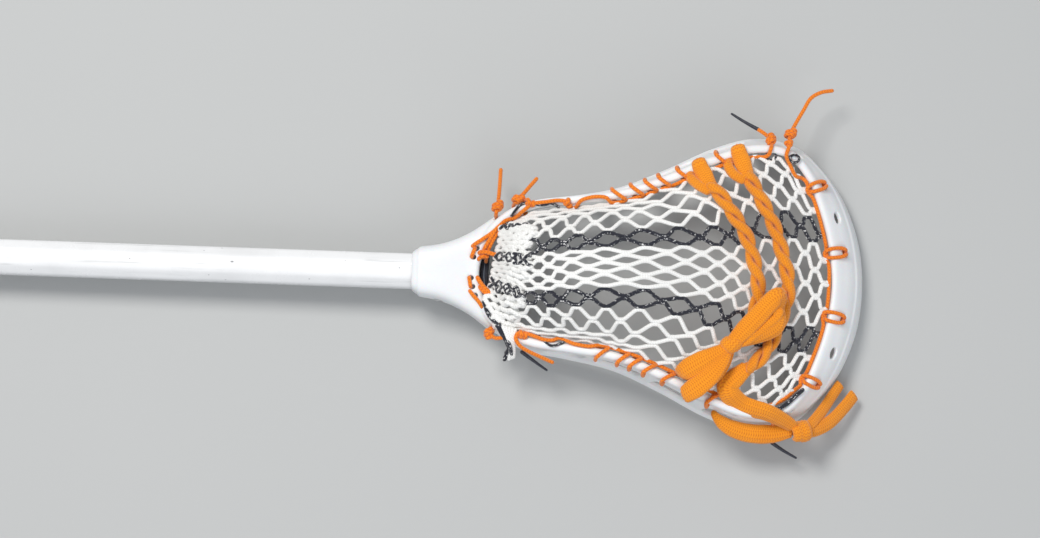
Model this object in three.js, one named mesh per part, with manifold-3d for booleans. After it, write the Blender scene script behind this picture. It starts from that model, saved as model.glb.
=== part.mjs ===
// A men's field lacrosse stick: an octagonal alloy shaft with a rubber butt cap, and a moulded head that
// carries a knitted pocket, laced in with thin strings and crossed by two thick shooting laces.
//
// Frame, in millimetres: the origin is the centre of the butt cap's flat end, +X runs along the shaft
// to the scoop, +Y is the stick's left side, and +Z is the back of the head, the side the pocket bulges to.
import * as THREE from "three";
import { mergeVertices } from "three/addons/utils/BufferGeometryUtils.js";
import Module from "manifold-3d";

const wasm = await Module();
wasm.setup();

// ---------- driving dimensions ----------

const CLEARANCE = 0.35; // gap between pieces that fit together

const SHAFT_LENGTH = 762; // a 30 inch attack shaft
const SHAFT_WIDTH = 23; // across the narrow flats, along Y
const SHAFT_HEIGHT = 28; // across the wide flats, along Z
const SHAFT_CHAMFER = 6.4; // size of the octagon's corner flats
const SHAFT_WALL = 1.6;
const SHAFT_END_EASE = 0.1; // the tube is this much slimmer where the cap and the head cover it

const CAP_END = 4; // thickness of the butt cap's end wall
const CAP_WALL = 2.6;
const CAP_LENGTH = 28;

const SOCKET_DEPTH = 36; // how far the shaft enters the head

const SHAFT_START = CAP_END + CLEARANCE;
const SHAFT_END = SHAFT_START + SHAFT_LENGTH;
const HEAD_START = SHAFT_END - SOCKET_DEPTH;

const SCREW_FROM_MOUTH = 19; // along the shaft, from the collar's mouth
const SCREW_SHANK = 1.9; // radius
const SCREW_HEAD = 3.7; // radius
const SCREW_LENGTH = 12.4;

const STRING = 1.15; // radius of the thin strings
const LACE_WIDE = 4.5; // half sizes of a twisted shooting lace
const LACE_THICK = 2.5;

const NET_THICKNESS = 2.2;
const NET_ROWS = 24; // half diamonds along the pocket
const NET_EDGE = 10; // half diamonds from the middle of the pocket to its edge
const NET_INSET = 8.4; // from the middle of the back rail to the edge of the net
const KNOT_LONG = 2.5; // half sizes of the net's knots, along and across the stick
const KNOT_WIDE = 1.5;

// ---------- materials ----------

const finish = (color, roughness, metalness = 0) =>
  new THREE.MeshStandardMaterial({ color, roughness, metalness });

const MATERIAL = {
  shaft: finish(0xf2f2f0, 0.35, 0.1),
  head: finish(0xf6f6f4, 0.4),
  rubber: finish(0x1b1b1c, 0.85),
  foam: finish(0x151518, 0.95),
  steel: finish(0xb5b6b8, 0.3, 1),
  whiteCord: finish(0xf1efe6, 0.9),
  blackCord: finish(0x24262e, 0.9),
  orangeString: finish(0xe8702a, 0.75),
  orangeLace: finish(0xf79a1c, 0.9),
};

// ---------- geometry helpers ----------

const vec = (x, y, z) => new THREE.Vector3(x, y, z);
const Z_UP = vec(0, 0, 1);
const mix = THREE.MathUtils.lerp;

// A closed geometry from rings of points: each ring is a polygon of the same number of points.
// The rings close on the first one, or else the two ends are capped with fans.
function loft(rings, closesOnItself = false) {
  const size = rings[0].length;
  const points = rings.flat();
  const faces = [];
  const last = closesOnItself ? rings.length : rings.length - 1;
  for (let r = 0; r < last; r++) {
    const next = (r + 1) % rings.length;
    for (let k = 0; k < size; k++) {
      const k1 = (k + 1) % size;
      const [a, b] = [r * size + k, r * size + k1];
      const [c, d] = [next * size + k1, next * size + k];
      faces.push([a, b, c], [a, c, d]);
    }
  }
  if (!closesOnItself) {
    for (const [r, turn] of [[0, -1], [rings.length - 1, 1]]) {
      const middle = points.length;
      const sum = rings[r].reduce((total, p) => total.add(p), vec(0, 0, 0));
      points.push(sum.divideScalar(size));
      for (let k = 0; k < size; k++) {
        const [a, b] = [r * size + k, r * size + ((k + 1) % size)];
        faces.push(turn > 0 ? [middle, a, b] : [middle, b, a]);
      }
    }
  }
  return fromFaces(points, faces);
}

// A geometry from points and triangles, turned so that its faces point out.
function fromFaces(points, faces) {
  let volume = 0;
  for (const [a, b, c] of faces) {
    volume += points[a].dot(points[b].clone().cross(points[c]));
  }
  const turned = volume < 0 ? faces.map(([a, b, c]) => [a, c, b]) : faces;
  const geometry = new THREE.BufferGeometry();
  const coordinates = points.flatMap((p) => [p.x, p.y, p.z]);
  geometry.setAttribute("position", new THREE.Float32BufferAttribute(coordinates, 3));
  geometry.setIndex(turned.flat());
  return geometry;
}

function toSolid(geometry) {
  const bare = geometry.clone();
  bare.deleteAttribute("normal");
  bare.deleteAttribute("uv");
  const merged = mergeVertices(bare, 1e-4);
  return new wasm.Manifold(
    new wasm.Mesh({
      numProp: 3,
      vertProperties: merged.getAttribute("position").array,
      triVerts: new Uint32Array(merged.index.array),
    }),
  );
}

function toGeometry(solid) {
  const mesh = solid.simplify(0.004).getMesh(); // drops slivers that a cut can leave
  const geometry = new THREE.BufferGeometry();
  geometry.setAttribute("position", new THREE.BufferAttribute(mesh.vertProperties, 3));
  geometry.setIndex(new THREE.BufferAttribute(mesh.triVerts, 1));
  return geometry;
}

// A rod of polygon section from one point to another, stretched along `long` into an oval if asked.
function rod(from, to, radius, { sides = 8, long = null, stretch = 1 } = {}) {
  const along = to.clone().sub(from).normalize();
  const guide = long ?? (Math.abs(along.z) > 0.9 ? vec(1, 0, 0) : Z_UP);
  const across = guide.clone().addScaledVector(along, -guide.dot(along)).normalize();
  const other = along.clone().cross(across);
  const ring = (centre) =>
    Array.from({ length: sides }, (_, k) => {
      const angle = ((k + 0.5) / sides) * 2 * Math.PI;
      return centre
        .clone()
        .addScaledVector(across, radius * stretch * Math.cos(angle))
        .addScaledVector(other, radius * Math.sin(angle));
    });
  return loft([ring(from), ring(to)]);
}

// A soft cord swept along points. Each station is { p, wide, thick }: half sizes of its oval section,
// wide along `side`, a direction that is carried along the path without twisting.
function sweep(stations, side, sides = 6) {
  let across = side.clone();
  const rings = stations.map(({ p, wide, thick = wide }, i) => {
    const before = stations[Math.max(i - 1, 0)].p;
    const after = stations[Math.min(i + 1, stations.length - 1)].p;
    const along = after.clone().sub(before).normalize();
    across = across.clone().addScaledVector(along, -across.dot(along)).normalize();
    const over = along.clone().cross(across);
    return Array.from({ length: sides }, (_, k) => {
      const angle = (k / sides) * 2 * Math.PI;
      return p
        .clone()
        .addScaledVector(across, wide * Math.cos(angle))
        .addScaledVector(over, thick * Math.sin(angle));
    });
  });
  return loft(rings);
}

// Reads a list of [position, value] pairs as a smooth profile.
function profile(pairs, at) {
  const last = pairs.length - 1;
  if (at <= pairs[0][0]) return pairs[0][1];
  if (at >= pairs[last][0]) return pairs[last][1];
  const i = pairs.findIndex(([x]) => x > at) - 1;
  const [[x0, y0], [x1, y1]] = [pairs[i], pairs[i + 1]];
  const slope = (j, k) => (pairs[k][1] - pairs[j][1]) / (pairs[k][0] - pairs[j][0]);
  const m0 = slope(Math.max(i - 1, 0), i + 1);
  const m1 = slope(i, Math.min(i + 2, last));
  const [t, w] = [(at - x0) / (x1 - x0), x1 - x0];
  const [t2, t3] = [t * t, t * t * t];
  return (
    (2 * t3 - 3 * t2 + 1) * y0 + (t3 - 2 * t2 + t) * w * m0 + (3 * t2 - 2 * t3) * y1 + (t3 - t2) * w * m1
  );
}

const smooth = (from, to, at) => THREE.MathUtils.smoothstep(at, from, to);

// ---------- the octagonal section ----------

// The shaft's section grown by `grow`, with each corner cut twice so that it reads as rounded.
function octagon(x, grow, ease = 0.9) {
  const [hy, hz] = [SHAFT_WIDTH / 2 + grow, SHAFT_HEIGHT / 2 + grow];
  const cut = SHAFT_CHAMFER + grow * 0.6;
  const quarter = [
    [hy, hz - cut - ease],
    [hy - ease * 0.5, hz - cut + ease * 0.5],
    [hy - cut + ease * 0.5, hz - ease * 0.5],
    [hy - cut - ease, hz],
  ];
  const flipped = [...quarter].reverse();
  return [
    ...quarter.map(([y, z]) => vec(x, y, z)),
    ...flipped.map(([y, z]) => vec(x, -y, z)),
    ...quarter.map(([y, z]) => vec(x, -y, -z)),
    ...flipped.map(([y, z]) => vec(x, y, -z)),
  ];
}

function shaftTube() {
  const held = -SHAFT_END_EASE;
  const outside = loft([
    octagon(SHAFT_START, held),
    octagon(CAP_LENGTH + CLEARANCE, held),
    octagon(CAP_LENGTH + CLEARANCE + SHAFT_END_EASE, 0),
    octagon(HEAD_START - CLEARANCE - SHAFT_END_EASE, 0),
    octagon(HEAD_START - CLEARANCE, held),
    octagon(SHAFT_END, held),
  ]);
  const inside = loft([
    octagon(SHAFT_START - 1, -SHAFT_WALL, 0.6),
    octagon(SHAFT_END + 1, -SHAFT_WALL, 0.6),
  ]);
  const x = HEAD_START + SCREW_FROM_MOUTH;
  const screwHole = rod(vec(x, -SHAFT_WIDTH, 0), vec(x, -4, 0), SCREW_SHANK + CLEARANCE);
  return toGeometry(toSolid(outside).subtract(toSolid(inside)).subtract(toSolid(screwHole)));
}

function endCap() {
  const fit = CLEARANCE;
  const wall = fit + CAP_WALL;
  const ribs = [10, 15, 20].flatMap((x) => [
    octagon(x - 1.6, wall),
    octagon(x - 0.8, wall + 0.7),
    octagon(x + 0.8, wall + 0.7),
    octagon(x + 1.6, wall),
  ]);
  const outside = loft([
    octagon(0, wall - 2.2),
    octagon(0.7, wall - 0.8),
    octagon(2.2, wall),
    ...ribs,
    octagon(CAP_LENGTH - 1, wall - 0.2),
    octagon(CAP_LENGTH, wall - 1.2),
  ]);
  const inside = loft([octagon(CAP_END, fit), octagon(CAP_LENGTH + 1, fit)]);
  return toGeometry(toSolid(outside).subtract(toSolid(inside)));
}

// ---------- the head's frame ----------

// The head is a ring around the pocket's mouth. Each station gives the middle of the back rail, which
// carries the strings, and the middle of the front rail, as [along, out, up] from the collar's mouth.
// Station 0 is the middle of the throat and the last one is the middle of the scoop.
const STATIONS = [
  { back: [41.5, 0, 14], front: [41.5, 0, -14] },
  { back: [44.3, 14.3, 14], front: [44.3, 14.3, -14] },
  { back: [51.8, 27.8, 15], front: [51.8, 27.8, -14] },
  { back: [63.5, 38.6, 18], front: [63, 39.6, -13] },
  { back: [80, 45.2, 22], front: [80, 47.4, -11] },
  { back: [105, 48.6, 27], front: [105, 51.6, -9] },
  { back: [134.5, 53, 30.5], front: [136, 58.4, -8] },
  { back: [163.5, 63.2, 30.5], front: [167, 71.6, -8.5] },
  { back: [193, 76.6, 27.5], front: [197, 86.4, -10.5] },
  { back: [220.5, 86.4, 22.5], front: [225, 94.4, -14] },
  { back: [244.5, 85, 17], front: [252, 89.6, -18] },
  { back: [259, 71.5, 12.5], front: [270, 73.6, -21] },
  { back: [268.6, 51, 9.5], front: [284, 54.6, -23] },
  { back: [276, 26, 7.5], front: [294, 28, -24.4] },
  { back: [279, 0, 7], front: [297, 0, -25] },
];
const SCOOP = STATIONS.length - 1;
const AROUND = 2 * SCOOP;

function railCurve(rail) {
  const left = STATIONS.map((s) => vec(...s[rail]));
  const right = left.slice(1, SCOOP).reverse().map((p) => vec(p.x, -p.y, p.z));
  const shifted = [...left, ...right].map((p) => p.add(vec(HEAD_START, 0, 0)));
  return new THREE.CatmullRomCurve3(shifted, true, "catmullrom", 0.5);
}
const BACK_RAIL = railCurve("back");
const FRONT_RAIL = railCurve("front");

// Station numbers run once round the ring, so this folds them onto the left half.
const fold = (s) => {
  const turn = ((s % AROUND) + AROUND) % AROUND;
  return turn > SCOOP ? AROUND - turn : turn;
};

const BEAD_STOPS = [[0, 3], [3, 3], [6, 2.9], [10, 2.8], [12, 2.4], [SCOOP, 2.3]];
const WEB_STOPS = [[0, 3], [3, 2.8], [4.5, 1.6], [10, 1.4], [SCOOP, 1.7]];
const beadAt = (s) => profile(BEAD_STOPS, fold(s));
const webAt = (s) => profile(WEB_STOPS, fold(s));
const crownAt = (s) => 9 * smooth(9, 12.5, fold(s)) + 1.2 * smooth(4, 7, fold(s)) + 0.01;
const leanAt = (s) => 3 * smooth(9, 12.5, fold(s));

// The wall of the ring at a station: a curve from the back rail to the front rail, and its directions.
function wallAt(s) {
  const t = (((s / AROUND) % 1) + 1) % 1;
  const [back, front] = [BACK_RAIL.getPoint(t), FRONT_RAIL.getPoint(t)];
  const step = 1e-3;
  const tangent = BACK_RAIL.getPoint((t + step) % 1).sub(BACK_RAIL.getPoint((t - step + 1) % 1));
  const along = vec(tangent.x, tangent.y, 0).normalize();
  const outward = vec(-along.y, along.x, 0);
  const down = front.clone().sub(back).normalize();
  const out = outward.clone().addScaledVector(down, -outward.dot(down)).normalize();
  const control = back
    .clone()
    .add(front)
    .multiplyScalar(0.5)
    .addScaledVector(out, crownAt(s))
    .addScaledVector(down, -leanAt(s));
  const bend = new THREE.QuadraticBezierCurve3(back, control, front);
  const normalAt = (depth) => {
    const run = bend.getTangent(depth);
    return out.clone().addScaledVector(run, -out.dot(run)).normalize();
  };
  // A point of the wall: depth 0 is the back rail and 1 the front rail, off is out from its middle.
  const skin = (depth, off) => bend.getPoint(depth).addScaledVector(normalAt(depth), off);
  return { back, front, along, outward, down, out, bend, normalAt, skin };
}

const WALL_DEPTHS = [0, 0.1, 0.22, 0.5, 0.78, 0.9, 1];

// The section of the ring: a web with a round bead along each edge.
function wallSection(s) {
  const { bend, normalAt } = wallAt(s);
  const [bead, web] = [beadAt(s), webAt(s)];
  const half = (depth) => mix(web, bead, Math.max(1 - smooth(0, 0.22, depth), smooth(0.78, 1, depth)));
  const side = (depth, sign) =>
    bend.getPoint(depth).addScaledVector(normalAt(depth), sign * half(depth));
  const cap = (depth, sign, turn) => {
    const run = bend.getTangent(depth).multiplyScalar(sign);
    return [1, 2, 3].map((k) => {
      const angle = (k / 4) * Math.PI;
      return bend
        .getPoint(depth)
        .addScaledVector(normalAt(depth), turn * bead * Math.cos(angle))
        .addScaledVector(run, bead * Math.sin(angle));
    });
  };
  return [
    ...WALL_DEPTHS.map((d) => side(d, 1)),
    ...cap(1, 1, 1),
    ...[...WALL_DEPTHS].reverse().map((d) => side(d, -1)),
    ...cap(0, -1, -1),
  ];
}

const RING_STEPS = 2.5; // sections per station

function ring() {
  const rings = Array.from({ length: AROUND * RING_STEPS }, (_, k) => wallSection(k / RING_STEPS));
  return toSolid(loft(rings, true));
}

// Half width and half height of the throat's block along the head, from the collar's mouth.
const THROAT_WIDTH = [[0, 13.4], [4, 15.8], [12, 17.2], [20, 19.4], [32, 24.8], [45, 32.6], [55, 38.4], [64, 41]];
const THROAT_HEIGHT = [[0, 17.2], [3, 18.6], [20, 18.4], [36, 17], [50, 16.4], [64, 12.5]];
const THROAT_SECTIONS = [0, 1.5, 4, 9, 14, 20, 26, 32, 38, 45, 50, 55, 60, 64];

function throatSection(along) {
  const [wide, high] = [profile(THROAT_WIDTH, along), profile(THROAT_HEIGHT, along)];
  const sides = 24;
  return Array.from({ length: sides }, (_, k) => {
    const angle = ((k + 0.5) / sides) * 2 * Math.PI;
    const [c, s] = [Math.cos(angle), Math.sin(angle)];
    const squareness = 0.42; // 1 would be an ellipse and 0 a box
    const y = Math.sign(c) * wide * Math.abs(c) ** squareness;
    const z = Math.sign(s) * high * Math.abs(s) ** squareness;
    return vec(HEAD_START + along, y, z);
  });
}

// The upright space inside the ring, as far as the middle of its wall.
function mouthSpace() {
  const rim = Array.from({ length: AROUND * 2 }, (_, k) => wallAt(k / 2).back);
  const at = (z) => rim.map((p) => vec(p.x, p.y, z));
  return toSolid(loft([at(-40), at(40)]));
}

// Windows through the side walls, as corners [along, up]: the struts between them lean.
const WINDOWS = [
  [[88, -3.5], [112, -2.5], [118, 14.5], [92, 11.5]],
  [[121, -2], [148, -2.2], [156, 17], [126, 16]],
  [[157, -2.4], [184, -3.6], [189, 14.6], [164, 17]],
  [[193, -4.4], [218, -7.4], [214, 8.4], [198, 12.6]],
];

// A window's outline with its corners rounded off.
function roundedShape(corners, radius) {
  const shape = new THREE.Shape();
  corners.forEach(([x, y], i) => {
    const corner = new THREE.Vector2(x, y);
    const before = new THREE.Vector2(...corners.at(i - 1));
    const after = new THREE.Vector2(...corners[(i + 1) % corners.length]);
    const start = corner.clone().add(before.sub(corner).setLength(radius));
    const end = corner.clone().add(after.sub(corner).setLength(radius));
    if (i === 0) shape.moveTo(start.x, start.y);
    else shape.lineTo(start.x, start.y);
    shape.quadraticCurveTo(corner.x, corner.y, end.x, end.y);
  });
  shape.closePath();
  return shape;
}

function windowCutters() {
  return WINDOWS.flatMap((corners) => {
    const shape = roundedShape(corners, 4.5);
    const plate = new THREE.ExtrudeGeometry(shape, { depth: 90, bevelEnabled: false, curveSegments: 3 });
    plate.rotateX(Math.PI / 2);
    return [-30, 120].map((y) => toSolid(plate.clone().translate(HEAD_START, y, 0)));
  });
}

// Where the strings pass the wall. Side holes sit just under the back rail's bead.
const SIDE_HOLES = [3.5, 4.25, 5, 5.7, 6.35, 6.95, 7.5, 8.05, 8.7, 9.4];
const SIDE_HOLE_DEPTH = 0.165;
const TOP_HOLES = [11.55, 13.25]; // the top string's, each side of the scoop's middle
const SPARE_HOLE = 12.45;
const SCOOP_HOLE_DEPTH = 0.4;
const LACE_HOLES = { front: 7.78, rear: 9.05 }; // stations where the shooting laces pass the left wall
const LACE_HOLE_DEPTH = 0.2;
const TOP_END = 10.35; // where the top string leaves through the wall on the left

function wallHole(s, depth, radius, stretch = 1) {
  const wall = wallAt(s);
  const reach = 9;
  return rod(wall.skin(depth, -reach), wall.skin(depth, reach), radius, {
    long: wall.along,
    stretch,
  });
}

// Slanting holes through the throat's rim, from its top face to its inner wall.
const THROAT_HOLES = [4, 9.8, 15.6];
const throatHoleTop = (v) => vec(HEAD_START + 37.6 + v * v * 0.014, v, 19);
const throatHoleFoot = (v) => vec(HEAD_START + 45.4 + v * v * 0.014, v * 0.97, 11.4);

function throatHole(v) {
  const [top, foot] = [throatHoleTop(v), throatHoleFoot(v)];
  const run = foot.clone().sub(top);
  return rod(top.clone().addScaledVector(run, -0.3), foot.clone().addScaledVector(run, 0.3), 1.85);
}

// The bottom string's ends leave sideways through the throat's shoulders.
const SHOULDER_HOLE = 2.5;

function headFrame() {
  const shell = [...THROAT_SECTIONS].map(throatSection);
  let solid = toSolid(loft(shell)).subtract(mouthSpace()).add(ring());
  const mouth = HEAD_START - 1;
  const socketEnd = SHAFT_END + CLEARANCE;
  const x = HEAD_START + SCREW_FROM_MOUTH;
  const cutters = [
    toSolid(loft([octagon(mouth, CLEARANCE), octagon(socketEnd, CLEARANCE)])),
    toSolid(rod(vec(x, -40, 0), vec(x, -SHAFT_WIDTH / 2 + 1, 0), SCREW_SHANK + CLEARANCE)),
    toSolid(rod(vec(x, -40, 0), vec(x, -16.8, 0), SCREW_HEAD + 0.6, { sides: 16 })),
    ...windowCutters(),
  ];
  for (const sign of [1, -1]) {
    for (const s of SIDE_HOLES) cutters.push(toSolid(wallHole(sign * s, SIDE_HOLE_DEPTH, 2.1)));
    for (const s of TOP_HOLES) {
      cutters.push(toSolid(wallHole(sign * s, SCOOP_HOLE_DEPTH, 2.1, 1.7)));
    }
    for (const s of Object.values(LACE_HOLES)) {
      cutters.push(toSolid(wallHole(sign * s, LACE_HOLE_DEPTH, 3.2, 1.9)));
    }
    for (const v of THROAT_HOLES) cutters.push(toSolid(throatHole(sign * v)));
    cutters.push(toSolid(wallHole(sign * SPARE_HOLE, SCOOP_HOLE_DEPTH, 2.1, 1.6)));
    cutters.push(toSolid(wallHole(sign * TOP_END, SIDE_HOLE_DEPTH, 2.1)));
    cutters.push(toSolid(wallHole(sign * SHOULDER_HOLE, 0.2, 2.1)));
  }
  for (const cutter of cutters) solid = solid.subtract(cutter);
  return toGeometry(solid);
}

// ---------- small hard pieces ----------

function ballStop() {
  const [inner, outer] = [8.6, 3.4]; // from the middle of the back rail
  const [low, high] = [-11, 7];
  const ease = 1.6;
  const section = (s) => {
    const { back, outward } = wallAt(s);
    const taper = 1 - 0.45 * (Math.abs(s) / 1.25) ** 2;
    const face = mix(outer, inner, taper);
    const at = (off, z) => vec(back.x, back.y, z).addScaledVector(outward, -off);
    return [
      at(outer, low + ease),
      at(outer + ease, low),
      at(face - ease, low),
      at(face, low + ease),
      at(face, high - ease),
      at(face - ease, high),
      at(outer + ease, high),
      at(outer, high - ease),
    ];
  };
  return loft([-1.25, -1, -0.75, -0.5, -0.25, 0, 0.25, 0.5, 0.75, 1, 1.25].map(section));
}

function headScrew() {
  const shelf = 16.8 + CLEARANCE; // where the head of the screw sits, from the stick's axis
  const [rise, length] = [2.1, 12.4];
  const outline = [
    [0, -length],
    [SCREW_SHANK * 0.6, -length],
    [SCREW_SHANK, -length + 1],
    [SCREW_SHANK, 0],
    [SCREW_HEAD, 0],
    [SCREW_HEAD, rise * 0.45],
    [SCREW_HEAD * 0.8, rise * 0.85],
    [SCREW_HEAD * 0.4, rise],
    [0, rise],
  ];
  const body = new THREE.LatheGeometry(outline.map(([x, y]) => new THREE.Vector2(x, y)), 14);
  const slot = (turn) => {
    const arm = [[-2.1, -0.45], [2.1, -0.45], [2.1, 0.45], [-2.1, 0.45]];
    const shape = new THREE.Shape(arm.map(([x, y]) => new THREE.Vector2(x, y)));
    const cutter = new THREE.ExtrudeGeometry(shape, { depth: 3, bevelEnabled: false });
    return toSolid(cutter.rotateX(-Math.PI / 2).rotateY(turn).translate(0, rise - 1.3, 0));
  };
  const solid = toSolid(body).subtract(slot(0)).subtract(slot(Math.PI / 2));
  const geometry = toGeometry(solid);
  return geometry.rotateX(Math.PI).translate(HEAD_START + SCREW_FROM_MOUTH, -shelf, 0);
}

// ---------- the pocket ----------

// Where the net's edge runs: [along, out, up] from the collar's mouth, sampled from throat to scoop.
const NET_RIM = Array.from({ length: 141 }, (_, k) => {
  const { back, outward } = wallAt((k / 140) * SCOOP);
  return back.clone().addScaledVector(outward, -NET_INSET).sub(vec(HEAD_START, 0, 0));
});

function rimAt(along) {
  const k = NET_RIM.findIndex((p) => p.x >= along);
  if (k < 0) return NET_RIM.at(-1);
  if (k === 0) return NET_RIM[0];
  const [a, b] = [NET_RIM[k - 1], NET_RIM[k]];
  return a.clone().lerp(b, (along - a.x) / (b.x - a.x));
}

// Height of the pocket along its middle: deepest near the throat, running out to the scoop.
const CROWN = [[56, 17], [66, 33], [82, 47], [105, 56], [125, 58.5], [150, 56], [185, 45.5], [215, 34], [245, 21], [272, 8]];
const CROWN_POWER = 2.5;

function netHeight(along, out) {
  const rim = rimAt(along);
  const t = Math.min(Math.abs(out) / Math.max(rim.y, 1), 1);
  return rim.z + (profile(CROWN, along) - rim.z) * (1 - t ** CROWN_POWER);
}

// The net's rows are straight across the middle and bow to the throat's and the scoop's curves.
const ROW_MIDDLE = [[0, 57], [4, 82], [7, 104], [10, 139], [13, 177], [16, 207.5], [19, 230.5], [24, 270]];
const ROW_SIDE = [[0, 67], [NET_ROWS, 249]];

function netPoint(row, column) {
  const t = Math.abs(column) / NET_EDGE;
  const spread = t + 0.13 * Math.sin(Math.PI * THREE.MathUtils.clamp((t - 0.3) / 0.7, 0, 1));
  const side = mix(ROW_SIDE[0][1], ROW_SIDE[1][1], row / NET_ROWS);
  const along = mix(profile(ROW_MIDDLE, row), side, spread * spread);
  const out = Math.sign(column) * spread * rimAt(side).y;
  return vec(along, out, netHeight(along, out));
}

function netNormal(along, out) {
  const step = 0.5;
  const slope = (a, o) => netHeight(along + a, out + o) - netHeight(along - a, out - o);
  return vec(-slope(step, 0), -slope(0, step), 2 * step).normalize();
}

// A sheet of knots joined by slanting cords, with the gaps between them left open.
function pocketNet() {
  const corners = new Map();
  const points = [];
  const normals = [];
  const quads = [];
  const compass = { east: [1, 0], north: [0, 1], west: [-1, 0], south: [0, -1] };
  const corner = (row, column, side) => {
    const key = [row, column, side].join();
    if (!corners.has(key)) {
      const [a, o] = compass[side];
      const middle = netPoint(row, column);
      const [along, out] = [middle.x + a * KNOT_LONG, middle.y + o * KNOT_WIDE];
      corners.set(key, points.length);
      points.push(vec(along, out, netHeight(along, out)));
      normals.push(netNormal(along, out));
    }
    return corners.get(key);
  };
  for (let row = 0; row <= NET_ROWS; row++) {
    for (let column = -NET_EDGE; column <= NET_EDGE; column++) {
      if ((row + column) % 2 !== 0) continue;
      const at = (side) => corner(row, column, side);
      quads.push([at("east"), at("north"), at("west"), at("south")]);
      if (row === NET_ROWS) continue;
      if (column < NET_EDGE) {
        const next = (side) => corner(row + 1, column + 1, side);
        quads.push([at("north"), at("east"), next("south"), next("west")]);
      }
      if (column > -NET_EDGE) {
        const next = (side) => corner(row + 1, column - 1, side);
        quads.push([at("east"), at("south"), next("west"), next("north")]);
      }
    }
  }
  const sheet = thicken(points, normals, quads, NET_THICKNESS);
  const joined = toSolid(sheet).add(toSolid(foldedEnd()));
  return toGeometry(joined).translate(HEAD_START, 0, 0);
}

// The spare end of the net, bunched up and folded back over the pocket at the throat.
function foldedEnd() {
  const [rows, columns] = [4, 10];
  const points = [];
  const normals = [];
  const quads = [];
  for (let i = 0; i <= rows; i++) {
    for (let j = 0; j <= columns; j++) {
      const [a, b] = [i / rows, j / columns];
      const along = mix(59, 77 + 2.5 * Math.sin(b * 9), a) + 4 * Math.abs(b - 0.5) ** 2;
      const out = mix(24.6, -29.4, b);
      const ruffle = 0.5 * Math.sin(b * 24 + a * 2);
      points.push(vec(along, out, netHeight(along, out) + 2 + ruffle));
      normals.push(netNormal(along, out));
      const k = i * (columns + 1) + j;
      if (i < rows && j < columns) quads.push([k, k + 1, k + columns + 2, k + columns + 1]);
    }
  }
  return thicken(points, normals, quads, 2 * NET_THICKNESS);
}

// Gives a sheet of quads a thickness: a skin each side, and walls along its free edges.
function thicken(points, normals, quads, thickness) {
  const shift = (sign) => points.map((p, i) => p.clone().addScaledVector(normals[i], (sign * thickness) / 2));
  const both = [...shift(1), ...shift(-1)];
  const under = points.length;
  const faces = quads.flatMap(([a, b, c, d]) => [
    [a, b, c],
    [a, c, d],
    [under + a, under + c, under + b],
    [under + a, under + d, under + c],
  ]);
  const edges = new Set(quads.flatMap((q) => q.map((a, i) => `${a},${q[(i + 1) % 4]}`)));
  for (const edge of edges) {
    const [a, b] = edge.split(",").map(Number);
    if (edges.has(`${b},${a}`)) continue;
    faces.push([b, a, under + a], [b, under + a, under + b]);
  }
  return fromFaces(both, faces);
}

// ---------- strings ----------

// A place beside the back rail, by the clock: 0 is the stick's back, 90 outside, 180 the wall, 270 inside.
function besideRail(s, clock, reach) {
  const { back, bend, normalAt } = wallAt(s);
  const angle = (clock * Math.PI) / 180;
  return back
    .clone()
    .addScaledVector(bend.getTangent(0.05), -reach * Math.cos(angle))
    .addScaledVector(normalAt(0.05), reach * Math.sin(angle));
}

// Marks a point of a path as the middle of a knot.
const knot = (p, size = 2.6) => Object.assign(p, { knot: size });

function cord(path, spacing, radius, sides = 5) {
  const curve = new THREE.CatmullRomCurve3(path, false, "centripetal");
  const count = Math.ceil(curve.getLength() / spacing);
  const knots = path.filter((p) => p.knot);
  const stations = curve.getSpacedPoints(count).map((p) => {
    const swell = knots.map((k) => k.knot * Math.exp(-(p.distanceToSquared(k) / k.knot ** 2) * 0.7));
    return { p, wide: radius + Math.max(0, ...swell) };
  });
  return sweep(stations, vec(0.3, 0.2, 1).normalize(), sides);
}

const REACH = 4.9; // from the rail's middle to a string lying on it

// Through one hole in the side wall, from outside to inside, and over the rail to the next one.
function wrapStep(s, next, side) {
  const at = (part, clock, reach = REACH) => besideRail(side * mix(s, next, part), clock, reach);
  const hole = (off) => wallAt(side * s).skin(SIDE_HOLE_DEPTH, off);
  return [hole(3.4), hole(0), hole(-3.4), at(0.3, 270), at(0.55, 330), at(0.8, 30), at(0.95, 85)];
}

const head = (along, out, up) => vec(HEAD_START + along, out, up);

function sidewallString(side, start, end) {
  const wraps = SIDE_HOLES.flatMap((s, i) => {
    const next = SIDE_HOLES[i + 1];
    return next ? wrapStep(s, next, side) : [];
  });
  const last = SIDE_HOLES.at(-1);
  const finish = [3.4, 0, -3.4].map((off) => wallAt(side * last).skin(SIDE_HOLE_DEPTH, off));
  return cord([...start, ...wraps, ...finish, ...end], 3.8, STRING);
}

const leftString = () =>
  sidewallString(
    1,
    [head(79, 62, 8), head(73, 55, 12), knot(head(67, 49, 15))],
    [
      besideRail(9.5, 275, REACH),
      besideRail(9.62, 330, REACH),
      besideRail(9.72, 30, REACH),
      knot(head(231, 97, 20)),
      head(222, 102, 16),
      head(209, 110, 10),
    ],
  );

const rightString = () =>
  sidewallString(
    -1,
    [head(94, -58, 4), head(83, -54, 9), head(73, -50, 13), knot(head(67, -49, 15))],
    [besideRail(-9.5, 275, REACH), besideRail(-9.62, 330, REACH), besideRail(-9.75, 20, REACH), knot(besideRail(-9.85, 80, 6.4), 2)],
  );

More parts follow.
